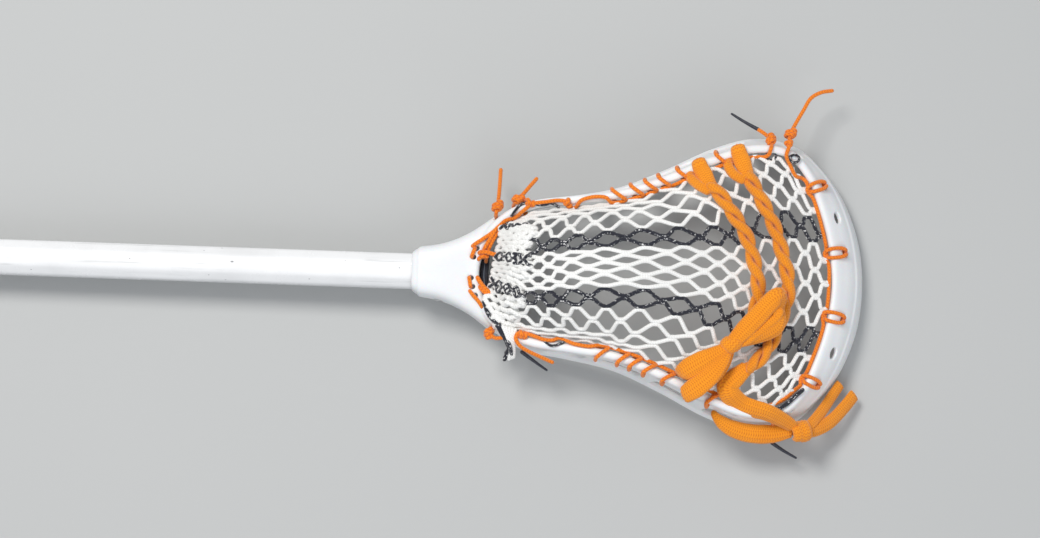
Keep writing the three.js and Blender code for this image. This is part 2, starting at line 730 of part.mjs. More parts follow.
// Over the scoop's inner edge, down its back, in through a hole and home along its front.
function scoopLoop(s, toward) {
  const shift = 0.12 * toward;
  const wall = (part, off) => wallAt(s + part * shift).skin(SCOOP_HOLE_DEPTH * (1 - Math.abs(part)), off);
  return [
    besideRail(s - shift * 2, 285, REACH),
    besideRail(s - shift, 345, REACH),
    besideRail(s - shift, 60, REACH),
    wall(-0.3, 3.9),
    wall(0, 3.2),
    wall(0, 0),
    wall(0, -3.2),
    wall(0.4, -4.2),
    besideRail(s + shift, 250, REACH),
    besideRail(s + shift * 2, 275, REACH),
  ];
}

function topString() {
  const turn = AROUND; // stations past the scoop count on to the right half
  const right = TOP_HOLES.map((s) => turn - s).reverse();
  const holes = [...TOP_HOLES, ...right];
  const through = [3.4, 0, -3.4].map((off) => wallAt(TOP_END).skin(SIDE_HOLE_DEPTH, off));
  const away = [-3.4, 0, 3.4].map((off) => wallAt(turn - TOP_END).skin(SIDE_HOLE_DEPTH, off));
  const path = [
    head(272, 128, 4),
    head(268, 124, 8),
    head(258, 112, 14),
    head(250, 104, 15),
    knot(head(245, 95.5, 12)),
    ...through,
    besideRail(TOP_END + 0.3, 270, REACH),
  ];
  holes.forEach((s, i) => {
    path.push(...scoopLoop(s, 1));
    const next = holes[i + 1] ?? turn - TOP_END;
    for (const part of [0.35, 0.65]) path.push(besideRail(mix(s, next, part), 275, REACH));
  });
  path.push(...away, knot(head(246, -95, 12), 2.2), head(252, -100, 8));
  return cord(path, 3.8, STRING);
}

// In and out of the throat's holes, with an end knotted outside each shoulder.
function bottomString() {
  const half = (side) => {
    const top = (v) => throatHoleTop(side * v).add(vec(-1.2, 0, 2.2));
    const foot = (v) => throatHoleFoot(side * v).add(vec(2.4, 0, -1.6));
    const through = (v) => [top(v), throatHoleTop(side * v), throatHoleFoot(side * v), foot(v)];
    const [near, middle, far] = THROAT_HOLES;
    return [
      knot(head(54.5, side * 44, 10)),
      besideRail(side * 2.45, 85, 5.6),
      besideRail(side * 2.2, 40, 6.6),
      besideRail(side * 1.9, 5, 7.5),
      head(47, side * 22, 21.4),
      ...through(far),
      head(51.8, side * (far + middle) * 0.5, 12.4),
      ...through(middle).reverse(),
      ...through(near),
    ];
  };
  const path = [
    head(56, 68, -2),
    head(55, 60, 2),
    head(54, 52, 7),
    ...half(1),
    head(52, 0, 11.6),
    ...half(-1).reverse(),
    head(56, -52, 5),
  ];
  return cord(path, 3.2, STRING);
}

// ---------- shooting laces ----------

const LACE_LIFT = NET_THICKNESS / 2 + LACE_THICK + 1.9;

// A place on the back of the pocket where a lace lies, lifted above the net.
const onNet = (along, out, lift = 0) => head(along, out, netHeight(along, out) + LACE_LIFT + lift);

// From inside the wall out through a lace hole and up over the rail.
function laceWrap(s, side) {
  const hole = (off) => wallAt(side * s).skin(LACE_HOLE_DEPTH, off);
  const over = (clock, reach) => besideRail(side * s, clock, reach);
  return [hole(-9), hole(-3), hole(3), over(118, 9.2), over(60, 8.6), over(10, 9), over(330, 10)];
}

function lace(path, spacing = 5) {
  const curve = new THREE.CatmullRomCurve3(path, false, "centripetal");
  const count = Math.ceil(curve.getLength() / spacing);
  const knots = path.filter((p) => p.knot);
  const stations = curve.getSpacedPoints(count).map((p) => {
    const swell = knots.map((k) => Math.exp(-(p.distanceToSquared(k) / 36)));
    const grow = Math.max(0, ...swell);
    return { p, wide: LACE_WIDE + 2.2 * grow, thick: LACE_THICK + 2.6 * grow };
  });
  return sweep(stations, vec(1, 0.35, 0));
}

function rearLace() {
  const crossing = [
    onNet(199.5, 59.3),
    onNet(209.5, 43),
    onNet(219.5, 30),
    onNet(225, 12.5),
    onNet(227, -5.9),
    onNet(224.8, -19.4),
    knot(onNet(209.5, -42.7, 2.5)),
    onNet(195, -55),
  ];
  const over = [...laceWrap(LACE_HOLES.front, 1), ...crossing, ...laceWrap(LACE_HOLES.front, -1).reverse()];
  const bow = [
    onNet(209.5, -42.7, 3),
    onNet(221, -33, 5),
    onNet(233, -22, 7),
    onNet(241, -13, 7),
    onNet(245, -19, 7),
    onNet(238, -29, 7),
    onNet(226, -39, 5),
    onNet(212, -43.5, 4),
  ];
  const loose = [onNet(209.5, -42.7, 3), onNet(198, -44, 2), onNet(186, -52, 1), onNet(176, -60, 1)];
  return joined([lace(over), lace(bow), lace(loose)]);
}

function joined(geometries) {
  return toGeometry(geometries.map(toSolid).reduce((sum, part) => sum.add(part)));
}

function frontLace() {
  const crossing = [
    onNet(221.4, 70.1),
    onNet(229.4, 50.5),
    onNet(238, 34),
    onNet(243.4, 17.7),
    onNet(247.5, 4.6),
    onNet(246.7, -12),
    onNet(243.4, -25.4),
    onNet(229.4, -46),
    onNet(221.4, -57.7),
  ];
  const wrap = laceWrap(LACE_HOLES.rear, -1).reverse();
  const over = [...laceWrap(LACE_HOLES.rear, 1), ...crossing, ...wrap];
  const knotted = head(258, -97, -4);
  const hanging = [wrap[2].clone(), head(217, -99, 14), head(236, -101, 4), knot(knotted)];
  const ends = [head(272, -89, -9), head(284, -80, -13), head(294, -71, -16)];
  const other = [knotted.clone(), head(274, -95, -10), head(287, -87, -14), head(297, -79, -17)];
  return joined([lace(over), lace([...hanging, ...ends]), lace(other)]);
}

// ---------- the object ----------

const stick = new THREE.Group();
stick.name = "lacrosse_stick";

function add(name, geometry, material) {
  const mesh = new THREE.Mesh(geometry, material);
  mesh.name = name;
  stick.add(mesh);
}

add("shaft", shaftTube(), MATERIAL.shaft);
add("butt_cap", endCap(), MATERIAL.rubber);
add("head_frame", headFrame(), MATERIAL.head);
add("head_screw", headScrew(), MATERIAL.steel);
add("ball_stop", ballStop(), MATERIAL.foam);
add("pocket_net", pocketNet(), MATERIAL.whiteCord);
add("top_string", topString(), MATERIAL.orangeString);
add("sidewall_string_left", leftString(), MATERIAL.orangeString);
add("sidewall_string_right", rightString(), MATERIAL.orangeString);
add("bottom_string", bottomString(), MATERIAL.orangeString);
add("shooting_lace_rear", rearLace(), MATERIAL.orangeLace);
add("shooting_lace_front", frontLace(), MATERIAL.orangeLace);

export default stick;
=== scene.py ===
"""A men's field lacrosse stick, lying face down: the looks built around its CAD frame.

Lengths are millimetres until a mesh is made, and metres in the materials and for the lamps.
Places on the head are given as [along, out, up]: along from the collar's mouth to the scoop, out to the
stick's left, up out of the back of the head.
"""
import math

import bmesh
import bpy
import numpy as np
from mathutils import Matrix, Vector


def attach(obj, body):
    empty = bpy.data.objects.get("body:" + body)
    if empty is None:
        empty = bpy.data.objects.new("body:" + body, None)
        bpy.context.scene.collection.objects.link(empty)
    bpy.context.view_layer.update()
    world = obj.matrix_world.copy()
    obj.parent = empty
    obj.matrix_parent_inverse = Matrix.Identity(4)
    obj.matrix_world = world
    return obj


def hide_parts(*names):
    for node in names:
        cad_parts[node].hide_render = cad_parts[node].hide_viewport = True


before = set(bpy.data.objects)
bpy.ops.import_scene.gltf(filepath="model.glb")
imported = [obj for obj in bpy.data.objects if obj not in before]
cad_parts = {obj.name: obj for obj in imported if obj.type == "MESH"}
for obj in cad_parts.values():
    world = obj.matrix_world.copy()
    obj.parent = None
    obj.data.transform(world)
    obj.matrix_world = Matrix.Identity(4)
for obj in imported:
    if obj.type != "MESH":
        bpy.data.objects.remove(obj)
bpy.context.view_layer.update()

MM = 0.001

# ---------- driving dimensions ----------

# The shaft, with the CAD's sizes.
SHAFT_LENGTH = 762.0
SHAFT_WIDTH = 23.0  # from the stick's left to its right
SHAFT_HEIGHT = 28.0  # from the face side to the back
SHAFT_CHAMFER = 6.4
SHAFT_WALL = 1.6
SHAFT_CORNER = 2.4  # radius of its long edges
BORE_CORNER = 1.6
SHAFT_EDGE = 0.5  # how far the tube's ends are rounded off
BORE_EDGE = 0.3
SHAFT_START = 4.35  # just clear of the cap's end wall
SHAFT_END = SHAFT_START + SHAFT_LENGTH
SOCKET_DEPTH = 36.0
HEAD_START = SHAFT_END - SOCKET_DEPTH

CAP_END = 4.0  # thickness of the end wall
CAP_LENGTH = 28.0
CAP_WALL = 2.6
CAP_ROUND = 3.2
CAP_RIB = 0.62  # height of a rib
CAP_RIB_PITCH = 5.0
FIT = 0.25  # gap between a piece and what it fits over

SCREW_FROM_MOUTH = 19.0
SCREW_HEAD = 3.7  # radius
SCREW_EDGE = 0.75  # height of the head's side, below its dome
SCREW_RISE = 2.15  # height of the whole head
SCREW_SHANK = 1.9  # radius
SCREW_TIP = 12.4  # below the head's seat
SCREW_SHELF = 17.15  # from the shaft's axis to the head's seat
THREAD_PITCH = 0.9
THREAD_DEPTH = 0.16
RECESS_DEPTH = 1.4

# Radii of the thin strings, the net's cords and its fine threads.
STRING = 1.3
CORD = 1.42
FINE_THREAD = 0.9

# The head's ring, station by station from throat to scoop: the middles of its two rails, as in the CAD.
BACK_RAIL = [
    (41.5, 0, 14), (44.3, 14.3, 14), (51.8, 27.8, 15), (63.5, 38.6, 18), (80, 45.2, 22),
    (105, 48.6, 27), (134.5, 53, 30.5), (163.5, 63.2, 30.5), (193, 76.6, 27.5), (220.5, 86.4, 22.5),
    (244.5, 85, 17), (259, 71.5, 12.5), (268.6, 51, 9.5), (276, 26, 7.5), (279, 0, 7),
]
FRONT_RAIL = [
    (41.5, 0, -14), (44.3, 14.3, -14), (51.8, 27.8, -14), (63, 39.6, -13), (80, 47.4, -11),
    (105, 51.6, -9), (136, 58.4, -8), (167, 71.6, -8.5), (197, 86.4, -10.5), (225, 94.4, -14),
    (252, 89.6, -18), (270, 73.6, -21), (284, 54.6, -23), (294, 28, -24.4), (297, 0, -25),
]
SCOOP = len(BACK_RAIL) - 1
AROUND = 2 * SCOOP

# The holes, as stations round the ring and depths in its wall. Most of the CAD's are at other stations.
SIDE_HOLES = [3.3, 3.62, 4.9, 5.9, 6.3, 6.62, 6.92, 7.36, 8.22, 8.95]
SIDE_DEPTH = 0.165
LACE_HOLES = [7.8, 8.68]
LACE_DEPTH = 0.2
TOP_HOLES = [11.42, 13.2]
SPARE_HOLE = 12.35
SCOOP_DEPTH = 0.26
TOP_END = 10.35
SHOULDER_HOLE = 2.5
SHOULDER_DEPTH = 0.2
THROAT_HOLES = [4.0, 9.8, 15.6]  # distances from the middle of the throat

# Each hole's radius, and how far it is stretched along the rail.
STRING_HOLE = (1.95, 1.0)
LACE_HOLE = (3.0, 1.9)
SCOOP_HOLE = (2.5, 1.4)
SPARE_SIZE = (2.9, 1.35)

# Windows through the sidewalls, as corners [along, up], as in the CAD.
WINDOWS = [
    [(88, -3.5), (112, -2.5), (118, 14.5), (92, 11.5)],
    [(121, -2), (148, -2.2), (156, 17), (126, 16)],
    [(157, -2.4), (184, -3.6), (189, 14.6), (164, 17)],
    [(193, -4.4), (218, -7.4), (214, 8.4), (198, 12.6)],
]

# ---------- small maths ----------


UP = np.array([0.0, 0.0, 1.0])


def smooth(low, high, x):
    """0 below low and 1 above high, smooth between."""
    t = np.clip((np.asarray(x, float) - low) / (high - low), 0, 1)
    return t * t * (3 - 2 * t)


def profile(pairs, x):
    """A smooth curve through [position, value] pairs, read at x."""
    xs, ys = np.array(pairs, float).T
    x = np.clip(np.asarray(x, float), xs[0], xs[-1])
    i = np.clip(np.searchsorted(xs, x, side="right") - 1, 0, len(xs) - 2)
    lo, hi = np.maximum(i - 1, 0), np.minimum(i + 2, len(xs) - 1)
    m0 = (ys[i + 1] - ys[lo]) / (xs[i + 1] - xs[lo])
    m1 = (ys[hi] - ys[i]) / (xs[hi] - xs[i])
    w = xs[i + 1] - xs[i]
    t = (x - xs[i]) / w
    return (
        (2 * t**3 - 3 * t**2 + 1) * ys[i]
        + (t**3 - 2 * t**2 + t) * w * m0
        + (3 * t**2 - 2 * t**3) * ys[i + 1]
        + (t**3 - t**2) * w * m1
    )


def unit(v):
    v = np.asarray(v, float)
    return v / np.maximum(np.linalg.norm(v, axis=-1, keepdims=True), 1e-9)


def across(v, along):
    """v without its part along a unit direction, made unit length."""
    return unit(v - np.sum(v * along, axis=-1, keepdims=True) * along)


def closed_spline(points, s):
    """Catmull-Rom through a closed ring of points, one point for each whole number of s."""
    p = np.asarray(points, float)
    s = np.mod(s, len(p))
    i = np.floor(s).astype(int)
    t = (s - i)[..., None]
    a, b, c, d = (p[(i + k) % len(p)] for k in (-1, 0, 1, 2))
    return 0.5 * (2 * b + (c - a) * t + (2 * a - 5 * b + 4 * c - d) * t**2 + (3 * b - a - 3 * c + d) * t**3)


def path(points, step):
    """A rounded path through control points, sampled evenly: a centripetal Catmull-Rom spline."""
    p = np.asarray(points, float)
    p = np.vstack([2 * p[0] - p[1], p, 2 * p[-1] - p[-2]])
    knots = np.concatenate([[0], np.cumsum(np.sqrt(np.linalg.norm(np.diff(p, axis=0), axis=1)) + 1e-6)])
    out = []
    for i in range(1, len(p) - 2):
        t = np.linspace(knots[i], knots[i + 1], 24, endpoint=False)[:, None]
        t0, t1, t2, t3 = knots[i - 1 : i + 3]
        a1 = (t1 - t) / (t1 - t0) * p[i - 1] + (t - t0) / (t1 - t0) * p[i]
        a2 = (t2 - t) / (t2 - t1) * p[i] + (t - t1) / (t2 - t1) * p[i + 1]
        a3 = (t3 - t) / (t3 - t2) * p[i + 1] + (t - t2) / (t3 - t2) * p[i + 2]
        b1 = (t2 - t) / (t2 - t0) * a1 + (t - t0) / (t2 - t0) * a2
        b2 = (t3 - t) / (t3 - t1) * a2 + (t - t1) / (t3 - t1) * a3
        out.append((t2 - t) / (t2 - t1) * b1 + (t - t1) / (t2 - t1) * b2)
    out = np.vstack([*out, p[-2:-1]])
    return evenly(out, step)


def evenly(points, step):
    """The same path, as points about one step apart."""
    lengths = arc_lengths(points)
    count = max(int(round(lengths[-1] / step)), 3)
    at = np.linspace(0, lengths[-1], count + 1)
    return np.stack([np.interp(at, lengths, points[:, k]) for k in range(3)], axis=1)


def arc_lengths(p):
    """The distance along a path at each of its points."""
    return np.concatenate([[0], np.cumsum(np.linalg.norm(np.diff(p, axis=0), axis=1))])


def tangents(p):
    return unit(np.gradient(p, axis=0))


def off_axis(t):
    """A direction well away from t: up, or along the head where t is steep."""
    return np.array((0.0, 0.0, 1.0) if abs(t[2]) < 0.9 else (1.0, 0.0, 0.0))


def spread_out(values, n):
    """n values, spread evenly over a short list of them, or over just one."""
    values = np.atleast_1d(values)
    return np.interp(np.linspace(0, 1, n), np.linspace(0, 1, len(values)), values)


def rounded(corners, radius):
    """A closed outline with its corners rounded off."""
    corners = np.asarray(corners, float)
    out = []
    for k, c in enumerate(corners):
        before, after = corners[k - 1], corners[(k + 1) % len(corners)]
        a = c + unit(before - c) * min(radius, np.linalg.norm(before - c) * 0.45)
        b = c + unit(after - c) * min(radius, np.linalg.norm(after - c) * 0.45)
        t = np.linspace(0, 1, 6)[:, None]
        out.append((1 - t) ** 2 * a + 2 * t * (1 - t) * c + t**2 * b)
    return np.vstack(out)


def carried_normals(p, first):
    """A normal at each point of a path, carried along without twisting."""
    t = tangents(p)
    normals = np.empty_like(p)
    n = np.asarray(first, float)
    for k in range(len(p)):
        n = n - np.dot(n, t[k]) * t[k]
        n = n / max(np.linalg.norm(n), 1e-9)
        normals[k] = n
    return normals


# ---------- meshes ----------


class Mesh:
    """Collects rings, tubes and grids, with uv in millimetres along and turns around, into one object."""

    def __init__(self):
        self.points, self.faces, self.uvs, self.slots = [], [], [], []
        self.count = 0

    def add(self, points, faces, uvs, slot=0):
        self.points.append(np.asarray(points, float))
        self.faces.append(np.asarray(faces, int) + self.count)
        self.uvs.append(np.asarray(uvs, float))
        self.slots.append(np.full(len(faces), slot))
        self.count += len(points)

    def loft(self, rings, slot=0, closed=False, along=None):
        """Joins rings of equal size, each a closed polygon. The ends are capped unless closed."""
        rings = np.asarray(rings, float)
        n, k = rings.shape[:2]
        if along is None:
            along = arc_lengths(rings.mean(axis=1))
        rows = n if closed else n - 1
        i, j = np.meshgrid(np.arange(rows), np.arange(k), indexing="ij")
        i2, j2 = (i + 1) % n, (j + 1) % k
        faces = np.stack([i * k + j, i * k + j2, i2 * k + j2, i2 * k + j], axis=-1).reshape(-1, 4)
        step = along[-1] / max(n - 1, 1)
        a0, a1 = along[i], np.where(i2 == 0, along[-1] + step, along[i2])
        turns = np.stack([j / k, (j + 1) / k, (j + 1) / k, j / k], axis=-1)
        lengths = np.stack([a0, a0, a1, a1], axis=-1)
        uvs = np.stack([lengths, turns], axis=-1).reshape(-1, 4, 2)
        self.add(rings.reshape(-1, 3), faces, uvs, slot)
        if closed:
            return
        for row, turn in ((0, -1), (n - 1, 1)):
            ring = rings[row]
            middle = ring.mean(axis=0)
            a, b = np.arange(k), (np.arange(k) + 1) % k
            hub = np.full(k, k)
            tri = np.stack([hub, a, b, b], axis=-1) if turn > 0 else np.stack([hub, b, a, a], axis=-1)
            uv = np.zeros((k, 4, 2))
            uv[..., 0] = along[row]
            self.add(np.vstack([ring, middle]), tri, uv, slot)

    def tube(self, p, radius, slot=0, sides=10, normals=None, flat=1.0):
        """A cord along points: an oval section, thin along the normals, rounded off at both ends."""
        p = np.asarray(p, float)
        n = len(p)
        radius = np.broadcast_to(np.asarray(radius, float), (n,)).copy()
        t = tangents(p)
        if normals is None:
            normals = carried_normals(p, off_axis(t[0]))
        normals = across(normals, t)
        wide = np.cross(t, normals)
        angle = 2 * np.pi * np.arange(sides) / sides
        c, s = np.cos(angle), np.sin(angle) * flat
        ends = [(0.0, 0.35), (0.35, 0.75), (0.8, 0.95)]
        thick = radius * flat
        head = [(p[0] - t[0] * thick[0] * (1 - d), r, 0) for d, r in ends]
        tail = [(p[-1] + t[-1] * thick[-1] * (1 - d), r, -1) for d, r in reversed(ends)]
        centres = np.vstack([[h[0] for h in head], p, [q[0] for q in tail]])
        scale = np.concatenate([[h[1] for h in head], np.ones(n), [q[1] for q in tail]])
        pick = np.concatenate([np.zeros(len(head), int), np.arange(n), np.full(len(tail), n - 1)])
        r = (radius[pick] * scale)[:, None, None]
        rings = centres[:, None] + r * (
            c[None, :, None] * wide[pick][:, None] + s[None, :, None] * normals[pick][:, None]
        )
        self.loft(rings, slot)

    def build(self, name, materials=(), body=None, node=None, slot_name=None):
        """The finished object. With a body it rides on that body, in place of a CAD node."""
        points = np.vstack(self.points) + np.array([HEAD_START, 0, 0])
        obj = make_object(name, points, np.vstack(self.faces), np.concatenate(self.uvs),
                          np.concatenate(self.slots))
        for material in materials:
            obj.data.materials.append(material)
        if body:
            stand_in(obj, body, node)
        return obj


def stand_in(obj, body, node):
    """Puts a finished object on a body, in place of a CAD node."""
    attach(obj, body)
    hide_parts(node)


def make_object(name, points, faces, uvs, slots):
    """A mesh object from arrays. A face of four whose last two corners are the same is a triangle."""
    mesh = bpy.data.meshes.new(name)
    triangle = faces[:, 2] == faces[:, 3]
    sizes = np.where(triangle, 3, 4)
    starts = np.concatenate([[0], np.cumsum(sizes)[:-1]])
    keep = np.ones(faces.shape, bool)
    keep[triangle, 3] = False
    mesh.vertices.add(len(points))
    mesh.vertices.foreach_set("co", (points * MM).astype(np.float32).ravel())
    mesh.loops.add(int(sizes.sum()))
    mesh.loops.foreach_set("vertex_index", faces[keep].astype(np.int32))
    mesh.polygons.add(len(faces))
    mesh.polygons.foreach_set("loop_start", starts.astype(np.int32))
    mesh.polygons.foreach_set("material_index", slots.astype(np.int32))
    mesh.polygons.foreach_set("use_smooth", np.ones(len(faces), bool))
    layer = mesh.uv_layers.new(name="run")
    layer.data.foreach_set("uv", uvs[keep].astype(np.float32).ravel())
    mesh.update(calc_edges=True)
    mesh.validate()
    obj = bpy.data.objects.new(name, mesh)
    bpy.context.scene.collection.objects.link(obj)
    return obj


# ---------- materials ----------


class Shader:
    """A node material built by formula."""

    def __init__(self, name):
        self.material = bpy.data.materials.new(name)
        self.material.use_nodes = True
        self.tree = self.material.node_tree
        self.principled = self.tree.nodes["Principled BSDF"]

    def put(self, socket, value):
        if isinstance(value, bpy.types.NodeSocket):
            self.tree.links.new(value, socket)
        elif value is not None:
            socket.default_value = value

    def node(self, kind, inputs, **settings):
        """A new node. Each of its inputs takes a value or another node's output."""
        n = self.tree.nodes.new(kind)
        for key, value in settings.items():
            setattr(n, key, value)
        for key, value in inputs.items():
            self.put(n.inputs[key], value)
        return n

    def math(self, op, a, b=None):
        return self.node("ShaderNodeMath", {0: a, 1: b}, operation=op).outputs[0]

    def mix(self, factor, a, b):
        a, b = ((*c, 1) if isinstance(c, tuple) else c for c in (a, b))
        return self.node("ShaderNodeMix", {"Factor": factor, 6: a, 7: b}, data_type="RGBA").outputs[2]

    def place(self, scale=(1, 1, 1)):
        """Object coordinates, in metres times scale."""
        at = self.node("ShaderNodeTexCoord", {}).outputs["Object"]
        return self.node("ShaderNodeMapping", {"Vector": at, "Scale": scale}).outputs[0]

    def noise(self, at, scale, detail, rough=0.55):
        inputs = {"Vector": at, "Scale": scale, "Detail": detail, "Roughness": rough}
        return self.node("ShaderNodeTexNoise", inputs).outputs[0]

    def cells(self, at, scale):
        inputs = {"Vector": at, "Scale": scale}
        return self.node("ShaderNodeTexVoronoi", inputs, feature="F1").outputs["Distance"]

    def wave(self, value, period):
        return self.math("SINE", self.math("MULTIPLY", value, 2 * math.pi / period))

    def step(self, value, low, high):
        """0 below low and 1 above high, smooth between."""
        inputs = {"Value": value, "From Min": low, "From Max": high}
        return self.node("ShaderNodeMapRange", inputs, interpolation_type="SMOOTHSTEP").outputs[0]

    def run(self):
        """The uv of a cord: millimetres along it, and turns around it."""
        at = self.node("ShaderNodeUVMap", {}, uv_map="run").outputs[0]
        return self.node("ShaderNodeSeparateXYZ", {0: at}).outputs[:2]

    def bump(self, height, distance, strength, after=None):
        """Relief: a height scaled by a distance in metres, added to the relief given as after."""
        inputs = {"Height": height, "Distance": distance, "Strength": strength, "Normal": after}
        return self.node("ShaderNodeBump", inputs).outputs[0]

    def finish(self, colour, roughness, normal=None, **more):
        p = self.principled
        self.put(p.inputs["Base Color"], (*colour, 1) if isinstance(colour, tuple) else colour)
        self.put(p.inputs["Roughness"], roughness)
        self.put(p.inputs["Normal"], normal)
        for key, value in more.items():
            self.put(p.inputs[key.replace("_", " ")], value)
        return self.material


def head_plastic():
    sh = Shader("head_plastic")
    at = sh.place()
    broad = sh.noise(at, 14, 4)
    grime = sh.step(sh.noise(at, 60, 8, 0.7), 0.62, 0.8)
    scratch = sh.step(sh.noise(sh.place((40, 900, 900)), 1.0, 3, 0.6), 0.66, 0.72)
    colour = sh.mix(sh.step(broad, 0.3, 0.7), (0.80, 0.815, 0.83), (0.86, 0.865, 0.865))
    colour = sh.mix(sh.math("MULTIPLY", grime, 0.22), colour, (0.50, 0.51, 0.44))
    colour = sh.mix(sh.math("MULTIPLY", scratch, 0.16), colour, (0.55, 0.56, 0.55))
    rough = sh.math("ADD", 0.30, sh.math("MULTIPLY", sh.math("ADD", broad, scratch), 0.16))
    normal = sh.bump(sh.noise(at, 900, 3), 0.00006, 0.5)
    normal = sh.bump(scratch, 0.00005, -0.5, normal)
    return sh.finish(colour, rough, normal, Subsurface_Weight=0.12, Subsurface_Scale=0.004,
                     Specular_IOR_Level=0.45)


def shaft_paint():
    sh = Shader("shaft_paint")
    at = sh.place()
    streak = sh.noise(sh.place((9, 420, 420)), 1.0, 5, 0.65)
    scuff = sh.step(streak, 0.53, 0.66)
    patch = sh.step(sh.noise(at, 16, 3), 0.44, 0.6)
    marks = sh.math("MULTIPLY", scuff, patch)
    nick = sh.step(sh.noise(sh.place((190, 420, 420)), 1.0, 2, 0.4), 0.745, 0.77)
    film = sh.step(sh.noise(at, 30, 5, 0.6), 0.35, 0.75)
    colour = sh.mix(film, (0.87, 0.875, 0.88), (0.79, 0.795, 0.80))
    colour = sh.mix(sh.math("MULTIPLY", marks, 0.45), colour, (0.40, 0.41, 0.40))
    colour = sh.mix(sh.math("MULTIPLY", nick, 0.8), colour, (0.13, 0.135, 0.14))
    rough = sh.math("ADD", 0.24, sh.math("MULTIPLY", sh.math("ADD", marks, film), 0.18))
    normal = sh.bump(sh.noise(at, 500, 2), 0.00004, 0.4)
    normal = sh.bump(sh.math("ADD", marks, nick), 0.00006, -0.7, normal)
    return sh.finish(colour, rough, normal, Coat_Weight=0.25, Coat_Roughness=0.18)


def cap_rubber():
    sh = Shader("cap_rubber")
    at = sh.place()
    dust = sh.step(sh.noise(at, 45, 6, 0.7), 0.48, 0.8)
    colour = sh.mix(sh.math("MULTIPLY", dust, 0.35), (0.018, 0.018, 0.019), (0.11, 0.105, 0.095))
    rough = sh.math("ADD", 0.58, sh.math("MULTIPLY", dust, 0.3))
    normal = sh.bump(sh.noise(at, 1600, 4), 0.00009, 0.7)
    return sh.finish(colour, rough, normal)


def stop_foam():
    sh = Shader("stop_foam")
    at = sh.place()
    pores = sh.cells(at, 1500)
    # Painted highlight: a thin bluish-grey line along the middle of the pad's thickness, where its groove
    # runs.
    layer = sh.run()[1]
    highlight_cutoff = sh.math("SUBTRACT", 1.0, sh.step(layer, 0.53, 0.56))
    groove_highlight = sh.math("MULTIPLY", sh.step(layer, 0.47, 0.50), highlight_cutoff)
    colour = sh.mix(sh.step(pores, 0.1, 0.6), (0.010, 0.010, 0.014), (0.032, 0.034, 0.045))
    colour = sh.mix(sh.math("MULTIPLY", groove_highlight, 0.75), colour, (0.32, 0.38, 0.46))
    normal = sh.bump(pores, 0.0003, 0.8)
    return sh.finish(colour, 0.92, normal)


def screw_steel():
    sh = Shader("screw_steel")
    at = sh.place()
    grain = sh.noise(sh.place((900, 60, 900)), 1.0, 3)
    stain = sh.step(sh.noise(at, 500, 5, 0.7), 0.55, 0.8)
    colour = sh.mix(sh.math("MULTIPLY", stain, 0.5), (0.62, 0.62, 0.63), (0.34, 0.30, 0.26))
    rough = sh.math("ADD", 0.24, sh.math("MULTIPLY", sh.math("ADD", grain, stain), 0.2))
    normal = sh.bump(grain, 0.00003, 0.6)
    return sh.finish(colour, rough, normal, Metallic=1.0)


def yarn(name, colour, crease_shade_and_soil, pitch, wales, relief, fleck=None, fleck_share=0.0):
    """Knitted cord: rows of small Vs running along it, with painted shade in the valleys between them.
    Optional flecks of a second thread.
    """
    sh = Shader(name)
    along, around = sh.run()
    wale = sh.math("PINGPONG", sh.math("MULTIPLY", around, float(wales)), 0.5)
    phase = sh.math("ADD", sh.math("DIVIDE", along, pitch), sh.math("MULTIPLY", wale, 0.9))
    loops = sh.wave(phase, 1)
    valley = sh.wave(wale, 1)
    height = sh.math("ADD", sh.math("MULTIPLY", loops, 0.5), sh.math("MULTIPLY", valley, 0.5))
    at = sh.place()
    fibre = sh.noise(at, 2600, 4, 0.7)
    soil = sh.step(sh.noise(at, 40, 5, 0.6), 0.45, 0.8)
    # Painted shade: where the knit's relief is low, the colour turns to the darker crease shade colour, which
    # also tints the soil.
    depth = sh.step(height, -0.7, 0.5)
    tone = sh.mix(depth, crease_shade_and_soil, colour)
    tone = sh.mix(sh.math("MULTIPLY", soil, 0.25), tone, crease_shade_and_soil)
    if fleck:
        rows = sh.math("DIVIDE", along, 1.7)
        columns = sh.math("MULTIPLY", sh.math("PINGPONG", around, 0.5), 6.5)
        cell = sh.node("ShaderNodeCombineXYZ", {0: rows, 1: columns, 2: sh.noise(at, 110, 1)}).outputs[0]
        spot = sh.step(sh.noise(cell, 1.15, 2, 0.6), fleck_share, fleck_share + 0.035)
        tone = sh.mix(sh.math("MULTIPLY", spot, sh.step(height, -0.9, -0.2)), tone, fleck)
    normal = sh.bump(fibre, relief * 0.35, 0.6)
    normal = sh.bump(height, relief, 0.85, normal)
    return sh.finish(tone, 0.86, normal, Sheen_Weight=0.35, Sheen_Roughness=0.5, Specular_IOR_Level=0.25)


def hard_tip():
    """The stiff end of a string: dark film shrunk on, scuffed grey."""
    sh = Shader("string_tip")
    along, _ = sh.run()
    at = sh.place()
    wear = sh.step(sh.noise(at, 900, 4, 0.7), 0.5, 0.75)
    colour = sh.mix(sh.math("MULTIPLY", wear, 0.5), (0.016, 0.018, 0.03), (0.16, 0.17, 0.2))
    normal = sh.bump(sh.wave(along, 1.1), 0.00008, 0.5)
    return sh.finish(colour, 0.35, normal)


# ---------- the shaft, its cap and the screw ----------


def octagon_ring(x, grow, corner):
    """The shaft's section at x along the stick, grown by a distance, with rounded corners."""
    hy, hz = SHAFT_WIDTH / 2 + grow, SHAFT_HEIGHT / 2 + grow
    cut = SHAFT_CHAMFER + grow * 0.6
    quarter = [(hy, hz - cut), (hy - cut, hz)]
    corners = quarter + [(-y, z) for y, z in reversed(quarter)]
    corners += [(-y, -z) for y, z in quarter] + [(y, -z) for y, z in reversed(quarter)]
    yz = rounded(corners, corner)
    return np.column_stack([np.full(len(yz), x - HEAD_START), yz])


